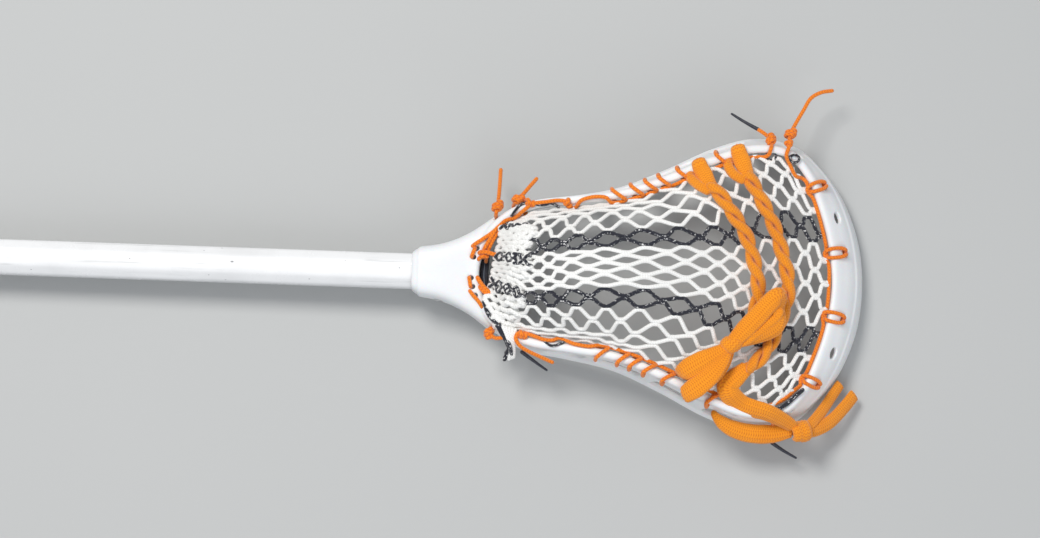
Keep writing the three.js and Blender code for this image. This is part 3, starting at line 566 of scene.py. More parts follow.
def shaft(material):
    """The tube: its outside from butt to head, its bore back again, and the screw's hole on its right."""
    m = Mesh()
    outer = [(SHAFT_START, -SHAFT_EDGE), (SHAFT_START + SHAFT_EDGE, 0)]
    outer += [(x, 0) for x in np.linspace(SHAFT_START + 4, SHAFT_END - 4, 60)]
    outer += [(SHAFT_END - SHAFT_EDGE, 0), (SHAFT_END, -SHAFT_EDGE)]
    inner = [(SHAFT_END, -SHAFT_WALL + BORE_EDGE), (SHAFT_END - SHAFT_EDGE, -SHAFT_WALL)]
    inner += [(x, -SHAFT_WALL) for x in np.linspace(SHAFT_END - 4, SHAFT_START + 4, 30)]
    inner += [(SHAFT_START + SHAFT_EDGE, -SHAFT_WALL), (SHAFT_START, -SHAFT_WALL + BORE_EDGE)]
    rings = [octagon_ring(x, grow, SHAFT_CORNER) for x, grow in outer]
    rings += [octagon_ring(x, grow, BORE_CORNER) for x, grow in inner]
    m.loft(rings, closed=True)
    tube = m.build("shaft_tube", [material])
    outward_facing(tube)
    hole = Mesh()
    hole.loft(rod_rings((SCREW_FROM_MOUTH, -16, 0), (SCREW_FROM_MOUTH, -6, 0), SCREW_SHANK + 0.35, sides=32))
    combine(tube, hole.build("screw_hole"), "DIFFERENCE", overlapping=True)
    stand_in(tube, "stick", "shaft")


def butt_cap(material):
    """The cap as [along, growth from the shaft's section]: its end, its ribbed side, and its bore."""
    m = Mesh()
    wall = FIT + CAP_WALL
    outer = []
    for k in range(9):
        turn = k / 8 * math.pi / 2
        outer.append((CAP_ROUND * (1 - math.sin(turn)), wall - CAP_ROUND * (1 - math.cos(turn))))
    outer = [(0, wall - 9.5), (0, wall - 6.5), *reversed(outer)]
    for x in np.arange(8.0, 22.5, 0.5):
        rib = CAP_RIB * smooth(0.1, 0.75, np.cos((x - 10) / CAP_RIB_PITCH * 2 * math.pi) * 0.5 + 0.5)
        outer.append((x, wall + float(rib)))
    outer += [(CAP_LENGTH - 2.5, wall), (CAP_LENGTH - 1.2, wall - 0.15), (CAP_LENGTH - 0.4, wall - 0.6)]
    outer += [(CAP_LENGTH, wall - 1.3), (CAP_LENGTH - 0.1, FIT + 0.4), (CAP_LENGTH - 0.7, FIT)]
    outer += [(x, FIT) for x in (CAP_LENGTH - 4, 14, 8, CAP_END + 0.6)] + [(CAP_END, FIT - 1), (CAP_END, -9)]
    m.loft([octagon_ring(x, grow, float(np.clip(3.2 + grow * 0.35, 0.4, 5))) for x, grow in outer])
    m.build("butt_cap_rubber", [material], "butt_cap", "butt_cap", "cap_rubber")


def recess(x, z):
    """1 in the cross of the screw's recess and 0 outside it."""
    arm = np.minimum(np.abs(x), np.abs(z))
    reach = np.maximum(np.abs(x), np.abs(z))
    return (1 - smooth(0.38, 0.62, arm)) * (1 - smooth(1.7, 2.3, reach))


def head_screw(material):
    """The screw as [radius, height] from its tip to the edge of its top, then the top in closing rings."""
    m = Mesh()
    outline = [(0.02, -SCREW_TIP), (1.2, -SCREW_TIP), (1.55, 0.4 - SCREW_TIP)]
    for k in range(60):
        z = -11.6 + k * (11.3 / 59)
        ridge = THREAD_DEPTH * math.sin(z / THREAD_PITCH * 2 * math.pi)
        outline.append((SCREW_SHANK - 0.18 + ridge, z))
    outline += [(SCREW_SHANK, -0.1), (SCREW_HEAD - 0.25, 0), (SCREW_HEAD, 0.22), (SCREW_HEAD, SCREW_EDGE)]
    for k in range(1, 12):
        turn = k / 12 * math.pi / 2
        dome = SCREW_EDGE + (SCREW_RISE - SCREW_EDGE) * math.sin(turn)
        outline.append((SCREW_HEAD * math.cos(turn) ** 0.8, dome))
    rows = [(r, h, min(h - 0.6, RECESS_DEPTH) if h > 0.8 else 0) for r, h in outline]
    rim = outline[-1][0]
    closing = (0.85, 0.7, 0.55, 0.42, 0.3, 0.2, 0.1, 0.02)
    rows += [(rim * share, SCREW_RISE, RECESS_DEPTH) for share in closing]
    sides = 48
    angle = np.arange(sides) / sides * 2 * math.pi
    rings = []
    for r, h, deep in rows:
        x, z = r * np.cos(angle), r * np.sin(angle)
        rings.append(np.column_stack([SCREW_FROM_MOUTH + x, -SCREW_SHELF - h + recess(x, z) * deep, z]))
    m.loft(rings)
    m.build("pan_head_screw", [material], "head_screw", "head_screw", "screw_steel")


# ---------- the head's frame ----------


def whole_ring(rail):
    """A rail right round the head: its left half as given, then its mirror image back to the throat."""
    left = [np.array(p, float) for p in rail]
    right = [p * (1, -1, 1) for p in reversed(left[1:-1])]
    return left + right


BACK_RING = whole_ring(BACK_RAIL)
FRONT_RING = whole_ring(FRONT_RAIL)
# Half thicknesses of the rails' beads and of the web between them, by station.
BEAD = [(0, 3), (3, 3), (6, 2.9), (10, 2.8), (12, 2.4), (SCOOP, 2.3)]
WEB = [(0, 3), (3, 2.8), (4.5, 1.6), (10, 1.4), (SCOOP, 1.7)]


def fold(s):
    """Stations of the right half as their mirror images on the left."""
    s = np.mod(s, AROUND)
    return np.where(s > SCOOP, AROUND - s, s)


class Wall:
    """The ring's wall at stations s: a bend from the back rail, depth 0, to the front rail, depth 1."""

    def __init__(self, s):
        self.s = np.atleast_1d(np.asarray(s, float))
        self.back = closed_spline(BACK_RING, self.s)
        self.front = closed_spline(FRONT_RING, self.s)
        tangent = closed_spline(BACK_RING, self.s + 0.02) - closed_spline(BACK_RING, self.s - 0.02)
        tangent[:, 2] = 0
        self.along = unit(tangent)
        self.outward = np.stack([-self.along[:, 1], self.along[:, 0], 0 * self.along[:, 0]], axis=1)
        self.down = unit(self.front - self.back)
        self.out = across(self.outward, self.down)
        f = fold(self.s)
        crown = 9 * smooth(9, 12.5, f) + 1.2 * smooth(4, 7, f)
        lean = 3 * smooth(9, 12.5, f)
        self.control = (self.back + self.front) / 2 + self.out * crown[:, None] - self.down * lean[:, None]

    def middle(self, depth):
        return (1 - depth) ** 2 * self.back + 2 * depth * (1 - depth) * self.control + depth**2 * self.front

    def slope(self, depth):
        return unit((1 - depth) * (self.control - self.back) + depth * (self.front - self.control))

    def normal(self, depth):
        return across(self.out, self.slope(depth))

    def skin(self, depth, off):
        return self.middle(depth) + self.normal(depth) * off


def wall_rings(count):
    """Sections of the ring: a web with a round bead on each edge and a raised lip round the scoop."""
    s = np.arange(count) / count * AROUND
    wall = Wall(s)
    f = fold(s)
    bead, web = profile(BEAD, f), profile(WEB, f)
    scoop = smooth(8.2, 10.5, f)

    def half(depth, outer):
        edge = max(1 - float(smooth(0, 0.2, depth)), float(smooth(0.8, 1, depth)))
        flat = web + (bead - web) * edge
        lip = 0.75 * scoop * float(smooth(0.50, 0.545, depth)) if outer else 0
        return flat + lip * (1 - edge)

    depths = np.concatenate([np.linspace(0, 0.2, 6), np.linspace(0.26, 0.46, 4), np.linspace(0.5, 0.56, 4),
                             np.linspace(0.62, 0.8, 4), np.linspace(0.84, 1, 5)])
    ring = []
    for side, rim, down in ((1, 1, depths), (-1, 0, depths[::-1])):
        for d in down:
            ring.append(wall.skin(d, side * half(d, side > 0)[:, None]))
        for k in range(1, 8):
            turn = k / 8 * math.pi
            off = side * bead * math.cos(turn)
            past = side * bead * math.sin(turn)
            ring.append(wall.skin(rim, off[:, None]) + wall.slope(rim) * past[:, None])
    return np.stack(ring, axis=1)


# Half width and half height of the throat, along the head.
THROAT_WIDE = [(0, 13.4), (4, 15.8), (12, 17.2), (20, 19.4), (32, 24.8), (45, 32.6), (55, 38.4), (64, 41)]
THROAT_HIGH = [(0, 17.2), (3, 18.6), (20, 18.4), (36, 17), (50, 16.4), (64, 12.5)]


def throat_rings():
    """Sections of the throat: a rounded box, wider toward the ring and stepped down at the collar's mouth."""
    angle = (np.arange(72) + 0.5) / 72 * 2 * math.pi
    c, s = np.cos(angle), np.sin(angle)
    rings = []
    for x in [0, 0.5, 1.5, 3, 3.9, 4.3, *np.arange(6, 64.1, 2)]:
        wide, high = float(profile(THROAT_WIDE, x)), float(profile(THROAT_HIGH, x))
        step = 1.0 * (1 - float(smooth(3.9, 4.4, x)))
        waist = 1 - 0.05 * float(smooth(8, 30, x) * (1 - smooth(38, 54, x))) * (1 - np.abs(s) ** 6)
        y = np.sign(c) * (wide - step) * np.abs(c) ** 0.42 * waist
        z = np.sign(s) * (high - step * 0.8) * np.abs(s) ** 0.42
        rings.append(np.column_stack([np.full(72, float(x)), y, z]))
    return np.array(rings)


def prism(outline, low, high):
    """A closed upright block over a closed outline of [along, out]."""
    m = Mesh()
    xy = np.asarray(outline, float)
    m.loft([np.column_stack([xy, np.full(len(xy), z)]) for z in (low, high)])
    return m


def rod_rings(a, b, radius, long=None, stretch=1.0, sides=20):
    """The two ends of a rod from a to b. Its section may be stretched in the direction long."""
    a, b = np.asarray(a, float), np.asarray(b, float)
    t = unit(b - a)
    u = across(off_axis(t) if long is None else long, t)
    v = np.cross(t, u)
    angle = np.arange(sides) / sides * 2 * math.pi
    offset = radius * (stretch * np.cos(angle)[:, None] * u + np.sin(angle)[:, None] * v)
    return [a + offset, b + offset]


def throat_hole(v):
    """The two ends of a string hole through the throat, at a distance v to the left of its middle."""
    top = np.array([37.6 + v * v * 0.014, v, 19.0])
    foot = np.array([46.8 + v * v * 0.014, v * 0.97, 1.0])
    return top, foot


def ring_holes():
    """The ring's holes on one side, as [station, depth, radius, stretch]."""
    holes = [(s, SIDE_DEPTH, *STRING_HOLE) for s in SIDE_HOLES + [TOP_END]]
    holes += [(s, LACE_DEPTH, *LACE_HOLE) for s in LACE_HOLES]
    holes += [(s, SCOOP_DEPTH, *SCOOP_HOLE) for s in TOP_HOLES]
    holes += [(SPARE_HOLE, SCOOP_DEPTH, *SPARE_SIZE), (SHOULDER_HOLE, SHOULDER_DEPTH, *STRING_HOLE)]
    return holes


def hole_cutters():
    """Everything cut from the head but its mouth: the socket, the screw's hole, windows and string holes."""
    m = Mesh()
    m.loft([octagon_ring(x + HEAD_START, FIT, 2.6) for x in (-2, 36.2)])
    m.loft(rod_rings((SCREW_FROM_MOUTH, -40, 0), (SCREW_FROM_MOUTH, -10.5, 0), SCREW_SHANK + 0.3))
    m.loft(rod_rings((SCREW_FROM_MOUTH, -40, 0), (SCREW_FROM_MOUTH, -16.9, 0), SCREW_HEAD + 0.5, sides=32))
    for side in (1, -1):
        for corners in WINDOWS:
            outline = rounded(corners, 5.0)
            m.loft([np.column_stack([outline[:, 0], np.full(len(outline), side * y), outline[:, 1]])
                    for y in (28.0, 122.0)])
        for s, depth, radius, stretch in ring_holes():
            wall = Wall(side * s)
            m.loft(rod_rings(wall.skin(depth, -7)[0], wall.skin(depth, 7)[0], radius, wall.along[0], stretch))
        # The left side lacks the hole nearest the middle.
        for v in THROAT_HOLES if side < 0 else THROAT_HOLES[1:]:
            top, foot = throat_hole(side * v)
            m.loft(rod_rings(top - (foot - top) * 0.15, foot + (foot - top) * 0.15, 1.7))
    return m


def outward_facing(obj):
    """Merges the doubled points of a closed mesh and turns its faces to point out."""
    bm = bmesh.new()
    bm.from_mesh(obj.data)
    bmesh.ops.remove_doubles(bm, verts=bm.verts, dist=1e-6)
    bmesh.ops.recalc_face_normals(bm, faces=bm.faces)
    bm.to_mesh(obj.data)
    bm.free()


def work_in_modifiers(obj):
    """Replaces the object's mesh with what its modifiers make of it."""
    graph = bpy.context.evaluated_depsgraph_get()
    graph.update()
    mesh = bpy.data.meshes.new_from_object(obj.evaluated_get(graph))
    obj.modifiers.clear()
    obj.data = mesh


def combine(obj, other, operation, overlapping=False):
    """Cuts the other object away or joins it on. Overlapping means that it crosses itself."""
    outward_facing(other)
    mod = obj.modifiers.new("combine", "BOOLEAN")
    mod.operation = operation
    mod.object = other
    mod.solver = "EXACT"
    mod.use_self = overlapping
    work_in_modifiers(obj)
    bpy.data.objects.remove(other)


def head_frame(material):
    """The moulded head: throat and ring joined, with every opening cut, and its edges eased."""
    throat = Mesh()
    throat.loft(throat_rings())
    body = throat.build("head_moulding")
    outward_facing(body)
    rim = Wall(np.arange(120) / 120 * AROUND).back[:, :2]
    combine(body, prism(rim, -45, 45).build("mouth"), "DIFFERENCE", overlapping=True)
    ring = Mesh()
    ring.loft(wall_rings(336), closed=True)
    combine(body, ring.build("hoop"), "UNION")
    combine(body, hole_cutters().build("holes"), "DIFFERENCE", overlapping=True)
    remesh = body.modifiers.new("mould", "REMESH")
    remesh.mode = "VOXEL"
    remesh.voxel_size = 0.6 * MM
    ease = body.modifiers.new("ease", "SMOOTH")
    ease.factor = 0.5
    ease.iterations = 8
    work_in_modifiers(body)
    mesh = body.data
    mesh.polygons.foreach_set("use_smooth", np.ones(len(mesh.polygons), bool))
    mesh.materials.clear()
    mesh.materials.append(material)
    stand_in(body, "stick", "head_frame")


def ball_stop(material):
    """The foam pad, bent round the throat. Its uv runs through its thickness, for a painted highlight along
    the groove in its middle.
    """
    m = Mesh()
    reach = 1.27
    s = np.linspace(-reach, reach, 49)
    wall = Wall(s)
    taper = 1 - 0.55 * (np.abs(s) / reach) ** 2.2
    outer, inner = 3.3, 3.3 + 5.6 * taper
    low, high = -11.2, 7.4
    rings = []
    angle = np.arange(40) / 40 * 2 * math.pi
    c, h = np.cos(angle), np.sin(angle)
    box_c = np.sign(c) * np.abs(c) ** 0.4
    box_h = np.sign(h) * np.abs(h) ** 0.3
    for k in range(len(s)):
        mid, half = (outer + inner[k]) / 2, (inner[k] - outer) / 2
        groove = 0.35 * np.exp(-((c / 0.18) ** 2)) * (np.abs(h) > 0.8)
        off = mid + half * box_c
        end = 1 - 0.25 * smooth(0.86, 1, abs(s[k]) / reach)
        z = (low + high) / 2 + (high - low) / 2 * (box_h * end) - groove * np.sign(h)
        xy = wall.back[k, :2] - wall.outward[k, :2] * off[:, None]
        rings.append(np.column_stack([xy, z]))
    m.loft(rings)
    share = np.tile((1 - box_c) / 2, len(s))
    obj = m.build("ball_stop_foam", [material], "stick", "ball_stop", "stop_foam")
    layer = obj.data.uv_layers["run"].data
    for loop in obj.data.loops:
        vertex = loop.vertex_index
        layer[loop.index].uv[1] = share[vertex] if vertex < len(share) else 0.2


# ---------- the pocket's surface ----------

# The height of the pocket's middle line, along the head.
CROWN = [(50, 12), (56, 17), (66, 33), (82, 47), (105, 56), (125, 58.5), (150, 56), (185, 45.5),
         (215, 34), (245, 21), (274, 8)]
CROWN_POWER = 2.5
NET_ROWS = 24  # half diamonds along the pocket
NET_EDGE = 10  # half diamonds from the pocket's middle to its edge
JOINT_HALF = 1.8  # half length of the stretch over which two cords lie together
JOINT_ASIDE = 0.92  # from the middle of such a stretch to each cord
# Where each row lies along the head, in the middle and at the edge.
ROW_MIDDLE = [(0, 57), (4, 83.3), (5, 89.5), (6, 96.4), (7, 104.6), (8, 114.7), (9, 126.3), (10, 140),
              (11, 153.3), (12, 167), (13, 179.2), (14, 191.3), (15, 201.3), (16, 210), (18, 226),
              (20, 243), (22, 259), (24, 272.6)]
ROW_SIDE = [(0, 65), (10, 139), (11, 149), (12, 161), (13, 172), (14, 182), (24, 251)]
# How far the net's middle line has slid to the stick's left, row by row.
DRIFT = [(0, -2), (5, -0.7), (7, 1.6), (9, 3.2), (11, 4.1), (13, 3.5), (18, 1), (24, 0)]
# How far each row is drawn back beside the laces, where the net is gathered on the sidewall.
DRAWN_BACK = [(0, 0), (9, 0), (10, 8), (11, 20), (12, 30), (14, 30), (17, 14), (20, 0), (24, 0)]
# How far out each cord sits, as a share of the half width: near the throat, where the head widens, and at
# the scoop.
SPREAD_CHANNEL = [(0, 0), (1, 0.098), (2, 0.196), (3, 0.28), (4, 0.4), (5, 0.525), (6, 0.68),
                  (7, 0.84), (8, 0.91), (9, 0.96), (10, 1)]
SPREAD_SHOULDER = [(0, 0), (1, 0.09), (2, 0.178), (3, 0.262), (4, 0.36), (5, 0.475), (6, 0.6),
                   (7, 0.7), (8, 0.81), (9, 0.905), (10, 1)]
SPREAD_SCOOP = [(0, 0), (2, 0.235), (4, 0.465), (6, 0.68), (8, 0.87), (9, 0.95), (10, 1)]

# The net's edge, just inside the back rail.
RIM_WALL = Wall(np.linspace(0, SCOOP, 281))
RIM = RIM_WALL.back - RIM_WALL.outward * (5.2 + 1.6 * smooth(9.5, 10.5, RIM_WALL.s))[:, None]


def rim_at(along):
    """[out, up] of the net's edge at a distance along the head."""
    along = np.asarray(along, float)
    return np.interp(along, RIM[:, 0], RIM[:, 1]), np.interp(along, RIM[:, 0], RIM[:, 2])


def net_height(along, out):
    """How far the net stands out of the back: from its rim up to the crown."""
    half, up = rim_at(along)
    t = np.minimum(np.abs(out) / np.maximum(half, 1), 1)
    return up + (profile(CROWN, along) - up) * (1 - t**CROWN_POWER)


def net_normal(along, out):
    """The direction square to the net."""
    step = 0.6
    dx = net_height(along + step, out) - net_height(along - step, out)
    dy = net_height(along, out + step) - net_height(along, out - step)
    return unit(np.stack([-dx, -dy, np.full_like(dx, 2 * step)], axis=-1))


def net_place(row, column):
    """[along, out] of a place on the net, given in half diamonds."""
    row, column = np.asarray(row, float), np.asarray(column, float)
    t = np.abs(column)
    to_shoulder, to_scoop = smooth(9.5, 12.5, row), smooth(14.5, 21.5, row)
    spread = profile(SPREAD_CHANNEL, t) * (1 - to_shoulder) + profile(SPREAD_SHOULDER, t) * to_shoulder
    spread = spread * (1 - to_scoop) + profile(SPREAD_SCOOP, t) * to_scoop
    side = profile(ROW_SIDE, row)
    along = profile(ROW_MIDDLE, row) * (1 - spread**2) + side * spread**2
    along = along - profile(DRAWN_BACK, row) * spread**2 * (1 - spread)
    drift = profile(DRIFT, row) * (1 - spread**2)
    return along, np.sign(column) * spread * rim_at(side)[0] + drift


def stray(row, column, size):
    """A smooth unevenness, so that no two diamonds are quite the same."""
    phase = 2.1
    x = np.sin(row * 1.7 + column * 2.3 + phase) + np.sin(row * 0.63 - column * 1.1 + phase * 1.7)
    y = np.sin(row * 1.3 - column * 1.9 + phase * 0.6) + np.sin(row * 0.8 + column * 0.7 + phase)
    return x * size * 0.5, y * size * 0.5


def net_cord(k):
    """The path of cord k, counted from the right edge: it meets its two neighbours in turn."""
    base = k - (2 * NET_EDGE - 1) / 2
    points = []
    for row in range(NET_ROWS + 1):
        even = row % 2 == 0
        lean = 1 if (k % 2 == 1) == even else -1
        edge = even and k in (0, 2 * NET_EDGE - 1)
        joint = base + lean * 0.5
        column = math.copysign(NET_EDGE, base) if edge else joint
        along, out = net_place(row, column)
        dx, dy = stray(row, column, 0.9)
        inward = 1 - 0.9 * float(smooth(8.5, 10, abs(column)))
        centre = np.array([float(along) + dx * inward, float(out) + dy * inward])
        aside = 0.0 if edge else -lean * JOINT_ASIDE
        for shift in (-JOINT_HALF, 0, JOINT_HALF):
            points.append([centre[0] + shift, centre[1] + aside, 0])
    p = path(points, 1.4)
    p[:, 2] = net_height(p[:, 0], p[:, 1])
    return p


BLACK_CORDS = {5, 6, 13, 14}


def pocket_net(white, black):
    """The net's cords, each a little uneven in thickness."""
    m = Mesh()
    for k in range(2 * NET_EDGE):
        p = net_cord(k)
        wobble = 1 + 0.05 * np.sin(arc_lengths(p) * 2 * math.pi / 2.4 + k)
        normals = net_normal(p[:, 0], p[:, 1])
        m.tube(p, CORD * wobble, 1 if k in BLACK_CORDS else 0, sides=10, normals=normals, flat=0.85)
    edge_loops(m)
    m.build("knitted_pocket", [white, black], "stick", "pocket_net", "net_cord")


def on_rail(along, out, radius):
    """A place for a cord lying on the back rail, or against its side."""
    rail_out, rail_up = (float(np.interp(along, RAIL_TABLE[:, 0], RAIL_TABLE[:, k])) for k in (1, 2))
    reach = 3.1 + radius
    off = min(abs(abs(out) - rail_out), reach)
    return np.array([along, out, rail_up + math.sqrt(reach**2 - off**2)])


def edge_loops(m):
    """Loose parts of the net's edge: two small loops and a cord's end on the rail, and fine threads."""
    for along, out in ((233.6, 82.6), (249, 81.6)):
        centre = on_rail(along, out, 0.8)
        turn = np.linspace(0, 2 * math.pi, 24)
        ring = centre + np.column_stack([3.1 * np.cos(turn), 2.5 * np.sin(turn), 0 * turn])
        m.tube(ring, 0.85, 1, sides=8)
    end = [on_rail(a, o, CORD) for a, o in ((244, -83), (249, -79.5), (254, -74.8), (259, -70.2))]
    m.tube(path(end, 1.0), CORD, 1)
    left = [(64.5, 37.4), (66.7, 40.6), (69.8, 44.4), (73.6, 46), (78.2, 45.4), (85, 44.6), (90, 45.8),
            (95, 44)]
    right = [(70, -38.6), (75, -38.2), (82, -38.6), (87, -42.8), (93.4, -47.4), (99, -46), (105, -43.4),
             (111, -45.4), (119.7, -47.4), (124, -46)]
    for places in (left, right):
        m.tube(path([on_rail(a, o, FINE_THREAD) for a, o in places], 0.8), FINE_THREAD, 1, sides=8)


# ---------- the folded end of the net ----------

# The fold's free edge and its folded edge, from the stick's left to its right, as [share, along, out].
FLAP_FREE = [(0, 57.5, 30.5), (0.18, 57.2, 21.5), (0.36, 54.8, 10.5), (0.5, 53.7, 2.5), (0.66, 52.2, -7.5),
             (0.8, 48.6, -21), (0.9, 54.5, -33.5), (1, 65, -54)]
FLAP_FOLD = [(0, 73.5, 31.5), (0.12, 77.6, 26.5), (0.24, 77, 17), (0.36, 75.6, 7), (0.5, 74.2, -4),
             (0.66, 72, -16.5), (0.8, 69.8, -28), (0.9, 68.4, -37.5), (1, 67.8, -50)]
FLAP_CORDS = 23
FLAP_SHARE = 0.93  # how much of the width they take up
FOLD_RADIUS = 2.2
FLAP_BENEATH = 4.6  # from the top layer down to the one beneath
FLAP_BLACK = {0, 8, 9, 15, 16}


def flap_height(along, out):
    """The height of the folded end: on the net, over the rail and down beyond it."""
    half, _ = rim_at(along)
    reach = np.abs(out) - half
    return (net_height(along, out) + 3.4 + 1.8 * smooth(-9, 0, reach)
            - 1.1 * np.maximum(reach - 8.5, 0))


def flap_side(side, share):
    """[along, out] on one of the fold's two edges."""
    return np.array([float(profile([(p[0], p[k]) for p in side], share)) for k in (1, 2)])


def flap_cord(j, sway=0.13, rise=0.0):
    """One cord of the folded end: along the top from the free edge, round the fold and back beneath."""
    share = (j + 0.5) / FLAP_CORDS * FLAP_SHARE
    ruffle = math.sin(share * 2 * math.pi * 3.33 - 0.94)
    steps = 8
    points = []
    for k in range(steps):
        t = k / (steps - 1)
        lean = 1 if (j + k) % 2 == 0 else -1
        gap = max(0.0, math.sin(j * 2.7 + k * 4.1) - 0.55) * 0.9
        w = share + lean * (sway + gap) / FLAP_CORDS
        free, fold = flap_side(FLAP_FREE, w), flap_side(FLAP_FOLD, w)
        fold[0] += 1.6 * ruffle
        place = free + (fold - free) * t
        lift = rise + 1.5 * ruffle * smooth(0.1, 0.9, t) + 1.3 * math.sin(math.pi * t) ** 0.7 - 1.2 * t**4
        points.append([place[0], place[1], float(flap_height(place[0], place[1])) + float(lift)])
    last = np.array(points[-1])
    ahead = unit((last - np.array(points[-3])) * (1, 1, 0))
    for turn in (45, 90, 135):
        a = math.radians(turn)
        points.append(last + ahead * FOLD_RADIUS * math.sin(a) + UP * FOLD_RADIUS * (math.cos(a) - 1))
    for back in (4.5, 9):
        points.append(last - ahead * back - UP * FLAP_BENEATH)
    return path(points, 0.9)


def gathered_corner(m):
    """The corner of the net pulled over the right shoulder: cords drawn together, then let out a little."""
    for k in range(7):
        t = k / 6 - 0.5
        start = (63.5 + 12 * t, -36.5 - 2.5 * t, 24.6 - 3 * abs(t))
        waist = (66.2 + 4.2 * t, -45.2 + 1.2 * t, 24.4 - 2.2 * abs(t))
        low = (67.2 + 3.4 * t, -50.2 - 0.6 * t, 20.5 - 1.2 * abs(t))
        end = (66 + 5.6 * t, -54.2 - 2.6 * math.cos(2.3 * k), 16.5)
        black = k in (0, 1)
        m.tube(path([start, waist, low, end], 0.9), CORD, 1 if black else 0, sides=10)


def folded_end(white, black):
    """The net's end, folded back at the throat: its cords, the black thread along some, and its hem."""
    m = Mesh()
    for j in range(FLAP_CORDS):
        p = flap_cord(j)
        m.tube(p, CORD * (1.18 + 0.16 * smooth(0.1, 0.6, np.linspace(0, 1, len(p)))))
        if j in FLAP_BLACK:
            m.tube(flap_cord(j, sway=0.42, rise=2.2), CORD * 0.78, 1, sides=8)
    hem = [(48.2, -19.6), (52, -28.6), (58.4, -35), (62.6, -41.4)]
    hem = [(a, o, float(flap_height(a, o)) + 1.6) for a, o in hem]
    m.tube(path([*hem, (66, -47.6, 25.2), (67.6, -53.4, 18.6)], 0.9), CORD * 0.95, 1, sides=10)
    gathered_corner(m)
    m.build("folded_net_end", [white, black], "stick", "pocket_net", "net_cord")


# ---------- strings ----------

RAIL_TABLE = closed_spline(BACK_RING, np.linspace(0, SCOOP, 561))


def station(along):
    """The station of the left half whose back rail is this far along the head."""
    return float(np.interp(along, RAIL_TABLE[:, 0], np.linspace(0, SCOOP, 561)))


def beside(s, clock, reach):
    """A place by the back rail, by the clock: 0 the stick's back, 90 outside, 180 the wall, 270 inside."""
    wall = Wall(s)
    angle = math.radians(clock)
    return (wall.back - wall.slope(0.05) * reach * math.cos(angle)
            + wall.normal(0.05) * reach * math.sin(angle))[0]


def wall_point(s, depth, off):
    """A place at a station of the ring, at a depth in its wall, off outward from the wall's middle."""
    return Wall(s).skin(depth, off)[0]


def rail(side, along, clock, reach=4.35):
    """A place by the back rail at a distance along the head: side 1 is the left, -1 the right."""
    return beside(side * station(along), clock, reach)


def rails(side, *places):
    """The same for several places, each as along, clock and, where it isn't the usual one, reach."""
    return [rail(side, *place) for place in places]


def winding(m, centre, direction, size=1.0, turns=2.15):
    """A tight knot: the string wound about itself, with its ends tucked in."""
    d = unit(direction)
    u = across(UP, d)
    w = np.cross(d, u)
    a = np.linspace(-0.6, 2 * math.pi * turns + 0.6, 60)
    share = np.linspace(-1, 1, len(a))
    radius = STRING * 2.02 * size * np.sqrt(np.clip((1 - share**6), 0.05, 1))
    along = share * STRING * 1.9 * size + STRING * 0.8 * np.sin(a + 0.8)
    p = np.asarray(centre, float) + np.outer(along, d)
    p = p + (radius * np.cos(a))[:, None] * w + (radius * 0.9 * np.sin(a))[:, None] * u
    m.tube(evenly(p, 0.5), STRING * 1.03, sides=14)


def string(m, points, radius=STRING):
    m.tube(path(points, 0.7), radius, sides=14)


def tip(m, points):
    """The hard dark end of a string."""
    p = path(points, 0.9)
    m.tube(p, np.linspace(STRING * 1.02, STRING * 0.6, len(p)), 1, sides=14)


def hitch(side, along, skew):
    """A string from inside, back over the rail into a hole in the wall, and out under itself."""
    s = side * station(along - skew)
    over = rails(side, (along + skew * 0.6, 300, 4.9), (along + skew * 0.2, 340, 4.6),
                 (along - skew * 0.4, 20, 4.4), (along - skew * 0.9, 62, 4.4))
    through = [wall_point(s, SIDE_DEPTH, off) for off in (3.6, 0, -4.0)]
    return [*over, *through, rail(side, along + skew * 0.2, 255, 5.4)]


def left_sidewall_string(m):
    """From a knot at the throat, hitched along the left rail, to a knot outside it near the scoop."""
    points = [(80, 63, 12.5), (76.5, 58.5, 15.5), (72, 52.6, 18.8), (67.6, 47.4, 20.6)]
    winding(m, (68.4, 48.3, 20.6), (0.6, 0.8, -0.2))
    points += [wall_point(3.25, SIDE_DEPTH, 3.2), wall_point(3.3, SIDE_DEPTH, -3), rail(1, 70, 255, 5.6)]
    points += [wall_point(3.62, SIDE_DEPTH, -3), wall_point(3.66, SIDE_DEPTH, 3.4)]
    points += rails(1, (75.8, 60, 4.7), (77.5, 24), (86, 8), (95, 10), (100.5, 350), (102.5, 305, 4.6),
                    (104, 262, 5.2), (106, 290, 4.8), (109.5, 350), (115, 10), (121, 12), (126, 355),
                    (128.5, 305, 4.6))
    winding(m, rail(1, 76.6, 30, 4.2), (1, 0.1, 0), size=0.8, turns=1.2)
    winding(m, rail(1, 100.6, 345, 4.2), (0.8, -0.6, -0.2), size=0.75, turns=1.0)
    for along, skew in ((135, 4.6), (146.5, 3.6), (155.5, 3.2), (164, 3.0), (176, 2.6), (201, 2.6)):
        points += [rail(1, along - 3.5, 283, 4.9), *hitch(1, along, skew)]
    points += rails(1, (210, 285, 5.2), (217, 283, 5.2), (224, 285, 5.2), (229, 290, 5.4),
                    (232.4, 320, 4.6), (233.8, 20))
    points += [(233.6, 90.5, 21), (232.6, 94, 19.4), (229, 97.6, 17), (224.6, 100.6, 14.5)]
    winding(m, (233.2, 93.4, 19.8), (-0.5, 1, -0.3))
    string(m, points)
    tip(m, [(224.8, 100.5, 14.6), (216, 105.6, 10.5), (207.5, 111, 7)])


